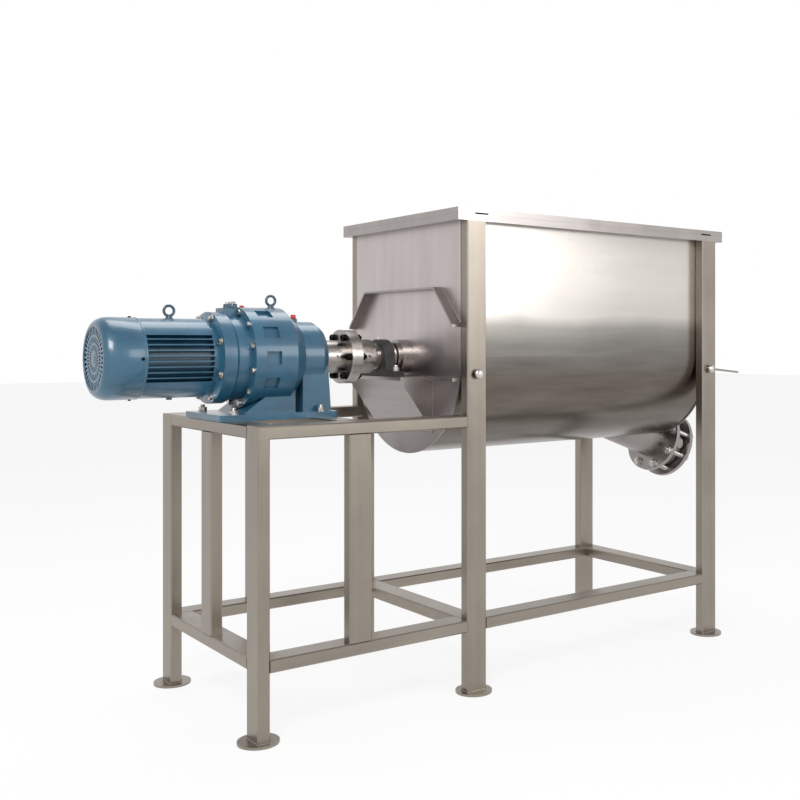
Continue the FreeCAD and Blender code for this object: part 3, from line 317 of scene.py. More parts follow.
def brushed(name, tone, stretch, roughness=0.34, streaks=0.6, clouds=0.5, contrast=0.16):
    """Steel with soft streaks drawn out along its grain, cloudy patches and a fine scratched grain."""
    finish = Finish(name, metallic=1.0)
    lines = spread(finish.noise(1.0, stretch, 6.0, 0.62), 1.7)
    cloud = spread(finish.noise(4.2, EVEN, 4.0), 2.2)
    grain = finish.noise(9.0, stretch, 3.0)
    wear = lines * (streaks / (streaks + clouds)) + cloud * (clouds / (streaks + clouds))
    finish.feed("Base Color", finish.mix(wear, toned(tone, 1 - contrast), toned(tone, 1 + contrast)))
    finish.feed("Roughness", roughness - 0.06 + 0.12 * cloud)
    finish.bump(grain, 0.12, 0.0004)
    return finish.material


def polished_wall(name, high, low):
    """The trough's wall: the steel's colour with a painted reflection where it faces the room, and painted
    shade, dark and brown, where it turns under.
    """
    finish = Finish(name, metallic=1.0)
    lines = spread(finish.noise(1.0, WALL_GRAIN, 5.0), 1.6)
    cloud = spread(finish.noise(2.1, EVEN, 3.0), 2.0)
    place = (finish.height() - WALL_FOOT) * (1 / WALL_RISE) + (cloud - 0.5) * 0.035
    stops = [(share, toned(low, factor)) for share, factor in WALL_PAINTED_SHADE]
    stops += [(share, toned(high, factor)) for share, factor in WALL_PAINTED_REFLECTION]
    # Painted shade low on the wall and a painted reflection higher up, chosen by height.
    tone = finish.add("ShaderNodeValToRGB", {"stops": stops}, {"Fac": place})
    tone = finish.mix(lines * 0.22, tone, toned(high, 0.62))
    finish.feed("Base Color", tone)
    finish.feed("Roughness", 0.20 + 0.10 * cloud)
    finish.bump(finish.noise(7.0, WALL_GRAIN, 3.0), 0.08, 0.0004)
    return finish.material


def panel_steel(name, tone):
    """The end plates: pale sheet with faint upright smears, and painted shade darkening it towards the
    bottom.
    """
    finish = Finish(name, metallic=1.0)
    smears = spread(finish.noise(1.0, PLATE_SMEARS, 5.0), 2.0)
    cloud = spread(finish.noise(3.0, EVEN, 4.0), 2.0)
    # Painted shade: the plate's colour darkens below PLATE_SHADE, by height.
    low = (PLATE_SHADE - finish.height()) * PLATE_FADE
    wear = smears * 0.5 + cloud * 0.5
    base = finish.mix(wear, toned(tone, 0.84), toned(tone, 1.16))
    finish.feed("Base Color", finish.mix(low * (0.55 + 0.4 * cloud), base, toned(tone, 0.42)))
    finish.feed("Roughness", 0.30 + 0.12 * cloud)
    finish.bump(finish.noise(8.0, PLATE_SMEARS, 3.0), 0.10, 0.0004)
    return finish.material


def turned_steel(name, tone, roughness=0.22):
    """Machined steel: fine rings left by the tool round the shaft, with a darker bloom."""
    finish = Finish(name, metallic=1.0)
    rings = spread(finish.noise(1.0, TOOL_RINGS, 3.0), 1.6)
    cloud = spread(finish.noise(16.0, EVEN, 4.0), 2.0)
    finish.feed("Base Color", finish.mix(rings * 0.55 + cloud * 0.45, toned(tone, 0.62), toned(tone, 1.35)))
    finish.feed("Roughness", roughness + 0.14 * cloud)
    finish.bump(rings, 0.15, 0.0003)
    return finish.material


def gloss_paint(name, tone):
    """Machine enamel: a clear coat with a little orange peel, dustier in patches."""
    finish = Finish(name, metallic=0.0, coat_weight=0.7, coat_roughness=0.16)
    cloud = spread(finish.noise(7.0, EVEN, 5.0), 2.2)
    dust = spread(finish.noise(38.0, EVEN, 6.0, 0.65), 2.6)
    base = finish.mix(cloud, toned(tone, 0.72), toned(tone, 1.25))
    finish.feed("Base Color", finish.mix(dust * 0.16 + cloud * 0.05, base, PAINT_DUST))
    finish.feed("Roughness", 0.34 + 0.14 * cloud)
    finish.bump(finish.noise(160.0, EVEN, 2.0), 0.14, 0.0006)
    return finish.material


def cast_iron(name, tone, roughness=0.55):
    """Rough cast iron with a worn, patchy black skin."""
    finish = Finish(name, metallic=0.35)
    skin = finish.noise(220.0, EVEN, 4.0, 0.6)
    cloud = spread(finish.noise(14.0, EVEN, 4.0), 2.0)
    finish.feed("Base Color", finish.mix(cloud, toned(tone, 0.6), toned(tone, 1.9)))
    finish.feed("Roughness", roughness - 0.1 + 0.2 * cloud)
    finish.bump(skin, 0.35, 0.0008)
    return finish.material


def plated(name, tone, roughness=0.24):
    """Nuts, studs and small fittings, dulled a little in patches."""
    finish = Finish(name, metallic=1.0)
    cloud = spread(finish.noise(60.0, EVEN, 4.0), 2.2)
    finish.feed("Base Color", finish.mix(cloud, toned(tone, 0.66), toned(tone, 1.25)))
    finish.feed("Roughness", roughness + 0.16 * cloud)
    finish.bump(finish.noise(400.0, EVEN, 2.0), 0.06, 0.0003)
    return finish.material


def moulded(name, tone, roughness):
    """Rubber and moulded caps, with a fine dull skin."""
    finish = Finish(name, metallic=0.0)
    cloud = spread(finish.noise(45.0, EVEN, 5.0), 2.2)
    finish.feed("Base Color", finish.mix(cloud, toned(tone, 0.7), toned(tone, 1.8)))
    finish.feed("Roughness", roughness - 0.08 + 0.16 * cloud)
    finish.bump(finish.noise(500.0, EVEN, 2.0), 0.12, 0.0003)
    return finish.material


def make_finishes(tones):
    """Every finish by its own name."""
    return {
        "tube_upright": brushed("tube_steel_upright", tones.tube, UPRIGHT),
        "tube_along": brushed("tube_steel_along", tones.tube, ALONG),
        "tube_across": brushed("tube_steel_across", tones.tube, ACROSS),
        "panel": panel_steel("panel_steel", tones.panel),
        "wall": polished_wall("polished_wall", tones.wall_painted_reflection, tones.wall_painted_shade),
        "lid": brushed("lid_steel", tones.lid, ALONG, 0.30),
        "bracket": brushed("bracket_steel", tones.bracket, ACROSS, 0.36, contrast=0.22),
        "machined": turned_steel("machined_steel", tones.machined),
        "ribbon": brushed("ribbon_steel", tones.lid, RIBBON_GRAIN, 0.30),
        "paint": gloss_paint("drive_paint", tones.paint),
        "paint_dark": gloss_paint("drive_paint_dark", tuple(c * DARK_PAINT for c in tones.paint)),
        "iron": cast_iron("bearing_iron", tones.iron),
        "black": plated("black_bolts", tones.black, 0.34),
        "bright": plated("bright_bolts", tones.bright),
        "rubber": moulded("seal_rubber", tones.rubber, 0.62),
        "plug": moulded("red_plugs", tones.plug, 0.42),
    }


NODE_FINISHES = {
    "tube_upright": ("drive_legs", "trough_leg_front", "trough_leg_back", "end_leg_front",
                     "end_leg_back", "table_posts", "foot_discs"),
    "tube_along": ("table_rails", "low_rails"),
    "tube_across": ("table_cross_rails",),
    "panel": ("end_plate_drive", "end_plate_discharge"),
    "wall": ("trough_shell",),
    "lid": ("lid", "rim_bars", "hinge_leaves_rim", "hinge_leaves_lid", "hinge_pins"),
    "bracket": ("end_plate_strips", "bearing_shelves", "end_plate_bars", "shelf_braces",
                "discharge_spout", "outlet_flange", "valve_body", "valve_lever"),
    "machined": ("main_shaft", "coupling_half_reducer", "coupling_half_mixer", "output_shaft",
                 "motor_shaft", "stuffing_boxes", "gland_followers", "bearing_inserts",
                 "valve_stem", "swing_rod"),
    "ribbon": ("ribbon_spokes", "outer_ribbons", "inner_ribbons", "valve_disc"),
    "paint": ("motor_body", "motor_flange", "fan_cover", "reducer_adapter", "reducer_ring",
              "reducer_pedestal"),
    "iron": ("bearing_housings",),
    "black": ("coupling_bolts", "cooling_fan", "eye_bolts"),
    "bright": ("bearing_bolts", "reducer_bolts", "pedestal_studs", "flange_studs", "leg_studs"),
    "rubber": ("lid_seal", "valve_seat"),
    "plug": ("oil_plugs",),
}

finishes = {}  # every finish by its name, once main has made them


# --- modelling -----------------------------------------------------------------------------------
def start(add, name, **sizes):
    """Adds a primitive with nothing else selected."""
    if bpy.context.mode != "OBJECT":
        bpy.ops.object.mode_set(mode="OBJECT")
    bpy.ops.object.select_all(action="DESELECT")
    add(**sizes)
    piece = bpy.context.active_object
    piece.name = name
    return piece


def choose(*pieces):
    bpy.ops.object.select_all(action="DESELECT")
    for piece in pieces:
        piece.select_set(True)
    bpy.context.view_layer.objects.active = pieces[0]


def apply_place(*pieces):
    choose(*pieces)
    bpy.ops.object.transform_apply(location=True, rotation=True, scale=True)


def standing(place, direction=UP):
    """Where a piece modelled upwards from z = 0 goes: its foot at place, pointing along direction."""
    turn = UP.rotation_difference(Vector(direction)).to_matrix().to_4x4()
    return Matrix.Translation(place) @ turn


def turned(name, stations, sides=32, hollow=False):
    """A turned piece about Z: a circle drawn through (height, radius) stations.  A hollow one comes
    back to the station where it starts."""
    height, radius = stations[0]
    piece = start(bpy.ops.mesh.primitive_circle_add, name, vertices=sides, radius=radius,
                  fill_type="NOTHING" if hollow else "NGON", location=(0, 0, height))
    bpy.ops.object.mode_set(mode="EDIT")
    bpy.ops.mesh.select_all(action="SELECT")
    for next_height, next_radius in stations[1:]:
        bpy.ops.mesh.extrude_region_move(TRANSFORM_OT_translate={"value": (0, 0, next_height - height)})
        ratio = next_radius / radius
        bpy.ops.transform.resize(value=(ratio, ratio, 1))
        height, radius = next_height, next_radius
    bpy.ops.mesh.select_all(action="SELECT")
    bpy.ops.mesh.remove_doubles(threshold=1e-6)
    bpy.ops.mesh.normals_make_consistent(inside=False)
    bpy.ops.object.mode_set(mode="OBJECT")
    apply_place(piece)
    return piece


def smooth(piece, degrees=35):
    choose(piece)
    bpy.ops.object.shade_smooth_by_angle(angle=math.radians(degrees))
    return piece


def trimmed(piece, other, operation):
    """The piece after a boolean with another, which is used up."""
    choose(piece)
    modifier = piece.modifiers.new("trim", "BOOLEAN")
    modifier.object, modifier.operation, modifier.solver = other, operation, "EXACT"
    bpy.ops.object.modifier_apply(modifier=modifier.name)
    bpy.data.objects.remove(other)
    return piece


def joined(name, *pieces):
    """The pieces as one piece of that name."""
    if len(pieces) > 1:
        choose(*pieces)
        bpy.ops.object.join()
    pieces[0].name = name
    return pieces[0]


def repeated(name, master, places):
    """One piece with a copy of the master at each place; the master is used up."""
    made = []
    for place in places:
        copy = master.copy()
        copy.data = master.data.copy()
        bpy.context.collection.objects.link(copy)
        copy.matrix_world = place
        made.append(copy)
    bpy.data.objects.remove(master)
    apply_place(*made)
    return joined(name, *made)


def finished(piece, finish, body, replaces=()):
    """Gives a new piece its finish and its body."""
    piece.data.materials.clear()
    piece.data.materials.append(finishes[finish])
    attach(piece, body)
    if replaces:
        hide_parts(*replaces)
    return piece


def hexagon(name, flats, height, foot=0.0):
    """A plain hexagonal bar, to be trimmed or cut with."""
    return start(bpy.ops.mesh.primitive_cylinder_add, name, vertices=6, radius=flats / math.sqrt(3),
                 depth=height, location=(0, 0, foot + height / 2))


def nut(name, flats, height, foot=0.0):
    """A hexagon nut with its corners turned off, standing at foot."""
    corner = flats / math.sqrt(3)
    bevel = (corner - flats / 2) * 0.6
    blank = hexagon(name, flats, height, foot)
    round_off = turned("round_off", [
        (foot, flats / 2), (foot + bevel, corner * 1.01), (foot + height - bevel, corner * 1.01),
        (foot + height, flats / 2)], 36)
    apply_place(blank)
    return trimmed(blank, round_off, "INTERSECT")


def thread(name, radius, foot, top, pitch):
    """A threaded rod from foot to top, with both ends turned down."""
    root = radius - pitch * 0.22
    turns = max(1, int((top - foot - pitch) / pitch))
    stations = [(foot, root - pitch * 0.2)]
    for k in range(turns):
        height = foot + pitch * (k + 0.5)
        stations += [(height, root), (height + pitch / 2, radius)]
    stations += [(top - pitch * 0.4, root), (top, root - pitch * 0.3)]
    return turned(name, stations, 20)


def washer(name, radius, thickness, bore, foot=0.0):
    """A washer with its upper edge turned off."""
    return turned(name, [(foot, bore), (foot, radius), (foot + thickness * 0.8, radius),
                         (foot + thickness, radius - thickness * 0.3), (foot + thickness, bore),
                         (foot, bore)], 28, hollow=True)


def weld(name, first, last, radius, ripple):
    """A rippled weld bead along a straight seam."""
    run = last - first
    steps = max(2, int(run.length / ripple))
    stations = [(0, radius * 0.5)]
    for k in range(steps):
        height = run.length * (k + 0.5) / steps
        stations += [(height - run.length * 0.3 / steps, radius * 0.82), (height, radius)]
    stations.append((run.length, radius * 0.5))
    bead = turned(name, stations, 8)
    bead.matrix_world = standing(first, run.normalized())
    apply_place(bead)
    return bead


# --- operators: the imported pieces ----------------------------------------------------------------
class DressPackedPieces(bpy.types.Operator):
    """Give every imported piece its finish"""
    bl_idname = "mixer.dress_packed_pieces"
    bl_label = "Packed pieces"

    def execute(self, context):
        for finish, nodes in NODE_FINISHES.items():
            for node in nodes:
                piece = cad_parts[node]
                if not piece.material_slots:
                    piece.data.materials.append(finishes[finish])
                for place in piece.material_slots:
                    place.material = finishes[finish]
        return {"FINISHED"}


# --- operators: motor and reducer ----------------------------------------------------------------
# The fan cover: its lip, the step behind it, and the radii at the edges of its rings of slots.
LIP, LIP_STEP = 0.006, 0.0008
SLOT_RADII = (0.073, 0.066, 0.049, 0.042, 0.026)
SHOULDER_STEPS = 8
LEVEL = 1e-5  # a face this near a height lies at it

COVER_SCREWS, FLANGE_BOLTS = 4, 8
BOLT_CIRCLE_EDGE = 0.0125  # from the bolt circle of the motor's flange out to its rim
LOBE_PITCH, LOBED_COVER_BACK = 0.021, 0.030


class AddFanCover(bpy.types.Operator):
    """Add the pressed fan cover with its rings of slots"""
    bl_idname = "mixer.add_fan_cover"
    bl_label = "Fan cover"

    def execute(self, context):
        sizes = context.scene.mixer.cover
        low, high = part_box("fan_cover")
        outer = (high.z - low.z) / 2
        depth = high.x - low.x
        straight = depth - sizes.bend
        face = sizes.face_radius
        stations = [(0, outer - 0.0006), (0.001, outer), (LIP, outer), (LIP + 0.001, outer - LIP_STEP),
                    (LIP + 0.003, outer - LIP_STEP), (LIP + 0.004, outer - 0.0003)]
        for step in range(SHOULDER_STEPS + 1):
            turn = math.radians(90 * step / SHOULDER_STEPS)
            stations.append((straight + sizes.bend * math.sin(turn),
                             face + (outer - face) * math.cos(turn)))
        floor = depth - sizes.recess
        rings = [face - sizes.bead - 0.002, *SLOT_RADII, sizes.boss_radius]
        stations += [(depth, face - sizes.bead), (floor, rings[0])]
        stations += [(floor, radius) for radius in rings[1:]]
        stations += [(floor + 0.0015, sizes.boss_radius * 0.8)]
        sides = sizes.ribs * 4
        cover = turned("fan_cover_pressed", stations, sides)

        # The open end, and every other pair of faces in three rings of the pierced end, are cut away.
        bpy.ops.object.mode_set(mode="EDIT")
        bpy.ops.mesh.select_all(action="DESELECT")
        mesh = bmesh.from_edit_mesh(cover.data)
        for one in mesh.faces:
            centre = one.calc_center_median()
            radius = math.hypot(centre.x, centre.y)
            side = int(sides * ((math.atan2(centre.y, centre.x) / math.tau) % 1))
            slot = any(rings[k + 1] < radius < rings[k] and (side // 2 + k // 2) % 2 == 0
                       for k in (0, 2, 4))
            pierced = slot and abs(centre.z - floor) < LEVEL
            one.select = pierced or (abs(centre.z) < LEVEL and len(one.verts) > 4)
        bmesh.update_edit_mesh(cover.data)
        bpy.ops.mesh.delete(type="FACE")
        bpy.ops.object.mode_set(mode="OBJECT")
        wall = cover.modifiers.new("sheet", "SOLIDIFY")
        wall.thickness, wall.offset = sizes.sheet, -1
        choose(cover)
        bpy.ops.object.modifier_apply(modifier=wall.name)
        cover.matrix_world = standing((high.x, 0, SHAFT_Z), -AXIS_X)
        apply_place(cover)
        finished(smooth(cover), "paint", "frame", ["fan_cover"])
        return {"FINISHED"}


class AddLiftingEyes(bpy.types.Operator):
    """Add the forged lifting eyes on the motor and the reducer"""
    bl_idname = "mixer.add_lifting_eyes"
    bl_label = "Lifting eyes"

    def execute(self, context):
        trim = context.scene.mixer.trim
        ring = start(bpy.ops.mesh.primitive_torus_add, "ring", major_radius=trim.eye_radius,
                     minor_radius=trim.eye_wire, major_segments=40, minor_segments=14,
                     location=(0, 0, trim.eye_stem + trim.eye_radius), rotation=(math.pi / 2, 0, 0))
        apply_place(ring)
        wire = trim.eye_wire
        collar = turned("collar", [
            (-0.001, wire * 2.6), (0.003, wire * 2.6), (0.004, wire * 2.4), (0.005, wire * 1.5),
            (trim.eye_stem, wire * 1.15), (trim.eye_stem + wire, wire)], 28)
        eye = joined("eye", ring, collar)
        places = [standing(((low.x + high.x) / 2, 0, low.z)) for low, high in solids("eye_bolts")]
        eyes = repeated("lifting_eyes", eye, places)
        finished(smooth(eyes, 45), "paint_dark", "frame", ["eye_bolts"])
        return {"FINISHED"}


class AddDriveTrim(bpy.types.Operator):
    """Add the reducer's oil caps, lobed cover, output seal and flange bolts, and the cover's screws"""
    bl_idname = "mixer.add_drive_trim"
    bl_label = "Drive trim"

    def execute(self, context):
        flange_low, flange_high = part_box("motor_flange")
        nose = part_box("reducer_pedestal")[1].x
        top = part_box("reducer_adapter")[1].z
        cover_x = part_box("reducer_ring")[0].x - LOBED_COVER_BACK

        # Lobed cover over the adapter's window, held by two bolts.
        rows = (-LOBE_PITCH, 0, LOBE_PITCH)
        lobes = [turned("lobe", [(-0.004, 0.014), (0.006, 0.014), (0.009, 0.0125), (0.0095, 0.010)], 28)
                 for _ in rows]
        bridge = start(bpy.ops.mesh.primitive_cube_add, "bridge", size=1, location=(0, 0, 0.0005))
        bridge.scale = (0.019, 0.040, 0.012)
        apply_place(bridge)
        bpy.ops.object.mode_set(mode="EDIT")
        bpy.ops.mesh.select_all(action="SELECT")
        bpy.ops.mesh.bevel(offset=0.003, segments=3, affect="EDGES")
        bpy.ops.object.mode_set(mode="OBJECT")
        for lobe, y in zip(lobes, rows):
            lobe.matrix_world = Matrix.Translation((0, y, 0))
        apply_place(*lobes)
        lobed = joined("lobed_cover", bridge, *lobes)
        lobed.matrix_world = Matrix.Translation((cover_x, 0, top + 0.001))
        apply_place(lobed)
        finished(smooth(lobed), "paint_dark", "frame")
        screw = joined("screw", nut("screw", 0.013, 0.006), washer("disc", 0.0095, 0.001, 0.004, -0.001))
        screws = repeated("lobed_cover_screws", screw, [
            standing((cover_x, y, top + 0.0115)) for y in (rows[0], rows[-1])])
        finished(smooth(screws), "bright", "frame")

        # Bolts through the motor's flange, and the seal round the output shaft.
        circle = (flange_high.z - flange_low.z) / 2 - BOLT_CIRCLE_EDGE
        bolt = joined("bolt", nut("bolt", 0.017, 0.009), washer("disc", 0.013, 0.0015, 0.005, -0.0015))
        bolts = repeated("motor_flange_bolts", bolt, [
            standing((flange_low.x + 0.003, circle * math.cos(a), SHAFT_Z + circle * math.sin(a)), -AXIS_X)
            for a in (math.tau * (k + 0.5) / FLANGE_BOLTS for k in range(FLANGE_BOLTS))])
        finished(smooth(bolts), "bright", "frame")
        seal = turned("output_seal", [
            (0, 0.0335), (0, 0.056), (0.0015, 0.056), (0.0028, 0.0545), (0.003, 0.040), (0.0042, 0.037),
            (0.0044, 0.0335), (0, 0.0335)], 56, hollow=True)
        seal.matrix_world = standing((nose, 0, SHAFT_Z), AXIS_X)
        apply_place(seal)
        finished(smooth(seal), "rubber", "frame")

        # Red caps of the oil plugs, and the fan cover's screws.
        caps = []
        for low, high in solids("oil_plugs"):
            radius, height = (high.y - low.y) / 2, high.z - low.z
            cap = turned("cap", [
                (0, radius * 0.92), (height * 0.18, radius), (height * 0.30, radius),
                (height * 0.34, radius * 0.86), (height * 0.80, radius * 0.86),
                (height * 0.95, radius * 0.74), (height, radius * 0.5)], 24)
            cap.matrix_world = standing(((low.x + high.x) / 2, 0, low.z))
            apply_place(cap)
            caps.append(cap)
        finished(smooth(joined("oil_caps", *caps)), "plug", "frame", ["oil_plugs"])
        low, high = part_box("fan_cover")
        radius = (high.z - low.z) / 2
        head = turned("head", [(-0.001, 0.0052), (0.0012, 0.0052), (0.0028, 0.0042), (0.0034, 0.0022)], 20)
        heads = repeated("fan_cover_screws", head, [
            standing((high.x - 0.016, radius * math.sin(a), SHAFT_Z + radius * math.cos(a)),
                     (0, math.sin(a), math.cos(a)))
            for a in (math.tau * k / COVER_SCREWS for k in range(COVER_SCREWS))])
        finished(smooth(heads), "black", "frame")
        return {"FINISHED"}


# --- operators: fasteners ------------------------------------------------------------------------
FLANGE_HALF = 0.009  # half of the thickness of a discharge flange
SOCKET_DEPTH = 0.008
DOME_STEPS, DOME_TURN, DOME_FOOT = 7, 84, 0.003


class AddStudsAndNuts(bpy.types.Operator):
    """Add threaded studs with nuts and washers to the reducer, the bearings and the flanges"""
    bl_idname = "mixer.add_studs_and_nuts"
    bl_label = "Studs and nuts"

    def execute(self, context):
        sizes = context.scene.mixer.fasteners
        past = sizes.stud_nut + sizes.stud_end  # what stands over the face that the nut is on
        for node in ("pedestal_studs", "bearing_bolts"):
            master = joined(
                "stud",
                nut("nut", sizes.stud_flats, sizes.stud_nut - sizes.washer, sizes.washer),
                washer("washer", sizes.stud_flats * 0.62, sizes.washer, sizes.stud_radius),
                thread("thread", sizes.stud_radius, sizes.washer, past, sizes.pitch))
            places = [standing(((low.x + high.x) / 2, (low.y + high.y) / 2, high.z - past))
                      for low, high in solids(node)]
            piece = repeated(node + "_threaded", smooth(master), places)
            finished(piece, "bright", "frame", [node])

        fall = sizes.spout_fall
        flow = Vector((math.cos(fall), 0, -math.sin(fall)))
        past = sizes.flange_nut + sizes.flange_end
        centres = [(low + high) / 2 for low, high in solids("flange_studs")]
        face = (middle("outlet_flange") - middle("valve_body")).dot(flow) + FLANGE_HALF
        rod = thread("rod", sizes.flange_radius, -face - past, face + past, sizes.pitch)
        ends = []
        for side in (1, -1):
            end = joined(
                "end", nut("nut", sizes.flange_flats, sizes.flange_nut - sizes.washer, sizes.washer),
                washer("washer", sizes.flange_flats * 0.6, sizes.washer, sizes.flange_radius))
            end.matrix_world = standing((0, 0, side * face), UP * side)
            apply_place(end)
            ends.append(end)
        master = smooth(joined("flange_stud", rod, *ends))
        studs = repeated("flange_studs_threaded", master, [standing(c, flow) for c in centres])
        finished(studs, "bright", "frame", ["flange_studs"])
        return {"FINISHED"}


class AddCouplingScrews(bpy.types.Operator):
    """Add the coupling's black socket screws with their nuts"""
    bl_idname = "mixer.add_coupling_screws"
    bl_label = "Coupling screws"

    def execute(self, context):
        sizes = context.scene.mixer.fasteners
        low, high = solids("coupling_bolts")[0]
        span = high.x - low.x
        radius, height = sizes.socket_radius, sizes.socket_head
        head = turned("head", [(0.0006, radius * 0.86), (0, radius * 0.9), (0.0012, radius),
                               (height, radius)], 36)
        socket = hexagon("socket", radius * 0.95, 2 * SOCKET_DEPTH, -SOCKET_DEPTH)
        apply_place(socket)
        head = trimmed(head, socket, "DIFFERENCE")
        past = sizes.stud_nut + sizes.stud_end
        seat = span - past
        master = joined("screw", head, nut("nut", sizes.stud_flats, sizes.stud_nut, seat),
                        thread("thread", sizes.stud_radius, seat, span, sizes.pitch))
        places = [standing((a.x, (a.y + b.y) / 2, (a.z + b.z) / 2), AXIS_X)
                  for a, b in solids("coupling_bolts")]
        screws = repeated("coupling_screws", smooth(master), places)
        finished(screws, "black", "rotor", ["coupling_bolts"])
        return {"FINISHED"}


class AddKnobs(bpy.types.Operator):
    """Add the domed knobs on the trough legs"""
    bl_idname = "mixer.add_knobs"
    bl_label = "Knobs"

    def execute(self, context):
        sizes = context.scene.mixer.fasteners
        radius, height = sizes.knob_radius, sizes.knob_height
        places, stand = [], 0
        for low, high in solids("leg_studs"):
            stand = high.y - low.y - height
            places.append(standing(((low.x + high.x) / 2, low.y + height, (low.z + high.z) / 2), -AXIS_Y))
        stations = [(-stand, radius * 0.34), (0, radius * 0.34), (0, radius * 0.9), (0.001, radius * 0.98),
                    (DOME_FOOT, radius)]
        for step in range(1, DOME_STEPS + 1):
            turn = math.radians(DOME_TURN * step / DOME_STEPS)
            stations.append((DOME_FOOT + (height - DOME_FOOT) * math.sin(turn), radius * math.cos(turn)))
        knobs = repeated("leg_knobs", smooth(turned("knob", stations, 40), 50), places)
        finished(knobs, "bright", "frame", ["leg_studs"])
        return {"FINISHED"}


# --- operators: bearings, trough and frame -------------------------------------------------------
NIPPLE_Y, NIPPLE_LEAN = 0.018, (0, 0.28, 0.96)
COLLAR_WALL = 0.013
HINGE_SCREWS = (0.15, 0.5, 0.85)  # shares of a leaf's length


class AddBearingTrim(bpy.types.Operator):
    """Add grease nipples and shaft collars to the bearings, and screws to the hinges"""
    bl_idname = "mixer.add_bearing_trim"
    bl_label = "Bearing trim"

    def execute(self, context):
        housings = solids("bearing_housings")
        nipple = turned("nipple", [
            (-0.004, 0.0045), (0.002, 0.0045), (0.0025, 0.0032), (0.006, 0.0030), (0.007, 0.0040),
            (0.009, 0.0040), (0.0105, 0.0026)], 20)
        nipples = repeated("grease_nipples", nipple, [
            standing(((low.x + high.x) / 2, NIPPLE_Y, high.z - 0.003), NIPPLE_LEAN)
            for low, high in housings])
        finished(smooth(nipples), "bright", "frame")

        # A split collar turns with the shaft beside each bearing's insert.
        low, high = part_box("main_shaft")
        bore = (high.z - low.z) / 2
        radius = bore + COLLAR_WALL
        collars = []
        for (low, high), side in zip(solids("bearing_inserts"), (1, -1)):
            collar = turned("collar", [
                (0.0012, bore), (0.0012, radius - 0.001), (0.0022, radius), (0.0120, radius),
                (0.0130, radius - 0.001), (0.0130, bore), (0.0012, bore)], 48, hollow=True)
            collar.matrix_world = standing((high.x if side > 0 else low.x, 0, SHAFT_Z), AXIS_X * side)
            apply_place(collar)
            collars.append(collar)
        finished(smooth(joined("shaft_collars", *collars)), "machined", "rotor")

        for node, body in (("hinge_leaves_rim", "frame"), ("hinge_leaves_lid", "lid")):
            screw = turned("screw", [(-0.001, 0.0042), (0.0004, 0.0042), (0.0016, 0.0034),
                                     (0.0020, 0.0018)], 16)
            places = []
            for low, high in solids(node):
                face = low.y + 0.004
                level = low.z + 0.006 if body == "frame" else high.z - 0.0035
                for share in HINGE_SCREWS:
                    places.append(standing((low.x + (high.x - low.x) * share, face, level), AXIS_Y))
            finished(smooth(repeated(node + "_screws", screw, places)), "bright", body)
        return {"FINISHED"}


class AddWelds(bpy.types.Operator):
    """Add the weld beads of the strips, brackets, legs and feet"""
    bl_idname = "mixer.add_welds"
    bl_label = "Welds"

    def execute(self, context):
        trim = context.scene.mixer.trim
        radius, ripple = trim.bead, trim.ripple
        beads = []

        def seam(first, last):
            beads.append(weld("bead", Vector(first), Vector(last), radius, ripple))

        strip_low, strip_high = solids("end_plate_strips")[0]
        half = (strip_high.y - strip_low.y) / 2
        shelf_low, shelf_high = solids("bearing_shelves")[0]
        brace_low, brace_high = solids("shelf_braces")[0]
        for face, side in ((PLATE_X, -1), (FAR_PLATE_X, 1)):
            x = face + side * radius * 0.3  # the beads are sunk a little in the plate
            top = strip_high.z
            level = top - trim.strip_height
            seam((x, -trim.strip_half, top), (x, trim.strip_half, top))
            for y in (-1, 1):
                seam((x, y * half * 0.995, level + 0.006), (x, y * trim.strip_half, top))
                seam((x, y * shelf_high.y, brace_low.z + 0.004), (x, y * shelf_high.y, shelf_low.z))
            seam((x, shelf_low.y, shelf_high.z), (x, shelf_high.y, shelf_high.z))
            seam((x, brace_low.y, brace_low.z), (x, brace_high.y, brace_low.z))

        foot_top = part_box("foot_discs")[1].z
        legs = [corners for node in ("drive_legs", "trough_leg_front", "trough_leg_back",
                                     "end_leg_front", "end_leg_back") for corners in solids(node)]
        for low, high in legs:
            corners = [(low.x, low.y), (high.x, low.y), (high.x, high.y), (low.x, high.y)]
            for (x0, y0), (x1, y1) in zip(corners, corners[1:] + corners[:1]):
                seam((x0, y0, foot_top), (x1, y1, foot_top))
        finished(smooth(joined("weld_beads", *beads), 60), "bracket", "frame")
        return {"FINISHED"}


# --- operator: stage -----------------------------------------------------------------------------
# Lamps: where each hangs, what it is turned to, and the two sides of its face.
KEY_LAMP = (-3.8, -3.6, 4.4), (-0.3, 0, 1.1), (2.6, 2.0)
FILL_LAMP = (2.6, -5.2, 2.6), (0.4, 0, 1.1), (2.2, 2.2)
TOP_LAMP = (0.2, 1.4, 4.6), (0, 0, 1.2), (3.0, 2.0)

WHITE = (1, 1, 1, 1)
FLOOR_COLOUR, FLOOR_SEEN = (0.9, 0.9, 0.9, 1), 0.86
# What the metal mirrors of the room, from the horizon up: white walls and a greyer ceiling.
ROOM_STOPS = ((0.0, WHITE), (0.35, WHITE), (0.8, (0.55, 0.55, 0.56, 1)), (1.0, (0.45, 0.45, 0.46, 1)))

CAMERA_PLACE, CAMERA_TURN = (-2.2424, -3.268, 1.185), math.radians(-38)
CAMERA_SHIFT = (-0.135, -0.071)


def lamp(name, place, aim, size, power):
    lit = start(bpy.ops.object.light_add, name, type="AREA", location=place)
    lit.rotation_euler = (Vector(aim) - Vector(place)).to_track_quat("-Z", "Y").to_euler()
    lit.data.shape, lit.data.size, lit.data.size_y = "RECTANGLE", size[0], size[1]
    lit.data.energy = power
    return lit


def seen_rays(maker):
    """1 for rays that show the background: from the camera, off gloss and through glass."""
    camera, glossy, through = (maker.add("ShaderNodeLightPath", output=f"Is {kind} Ray")
                               for kind in ("Camera", "Glossy", "Transmission"))
    return camera + glossy + through


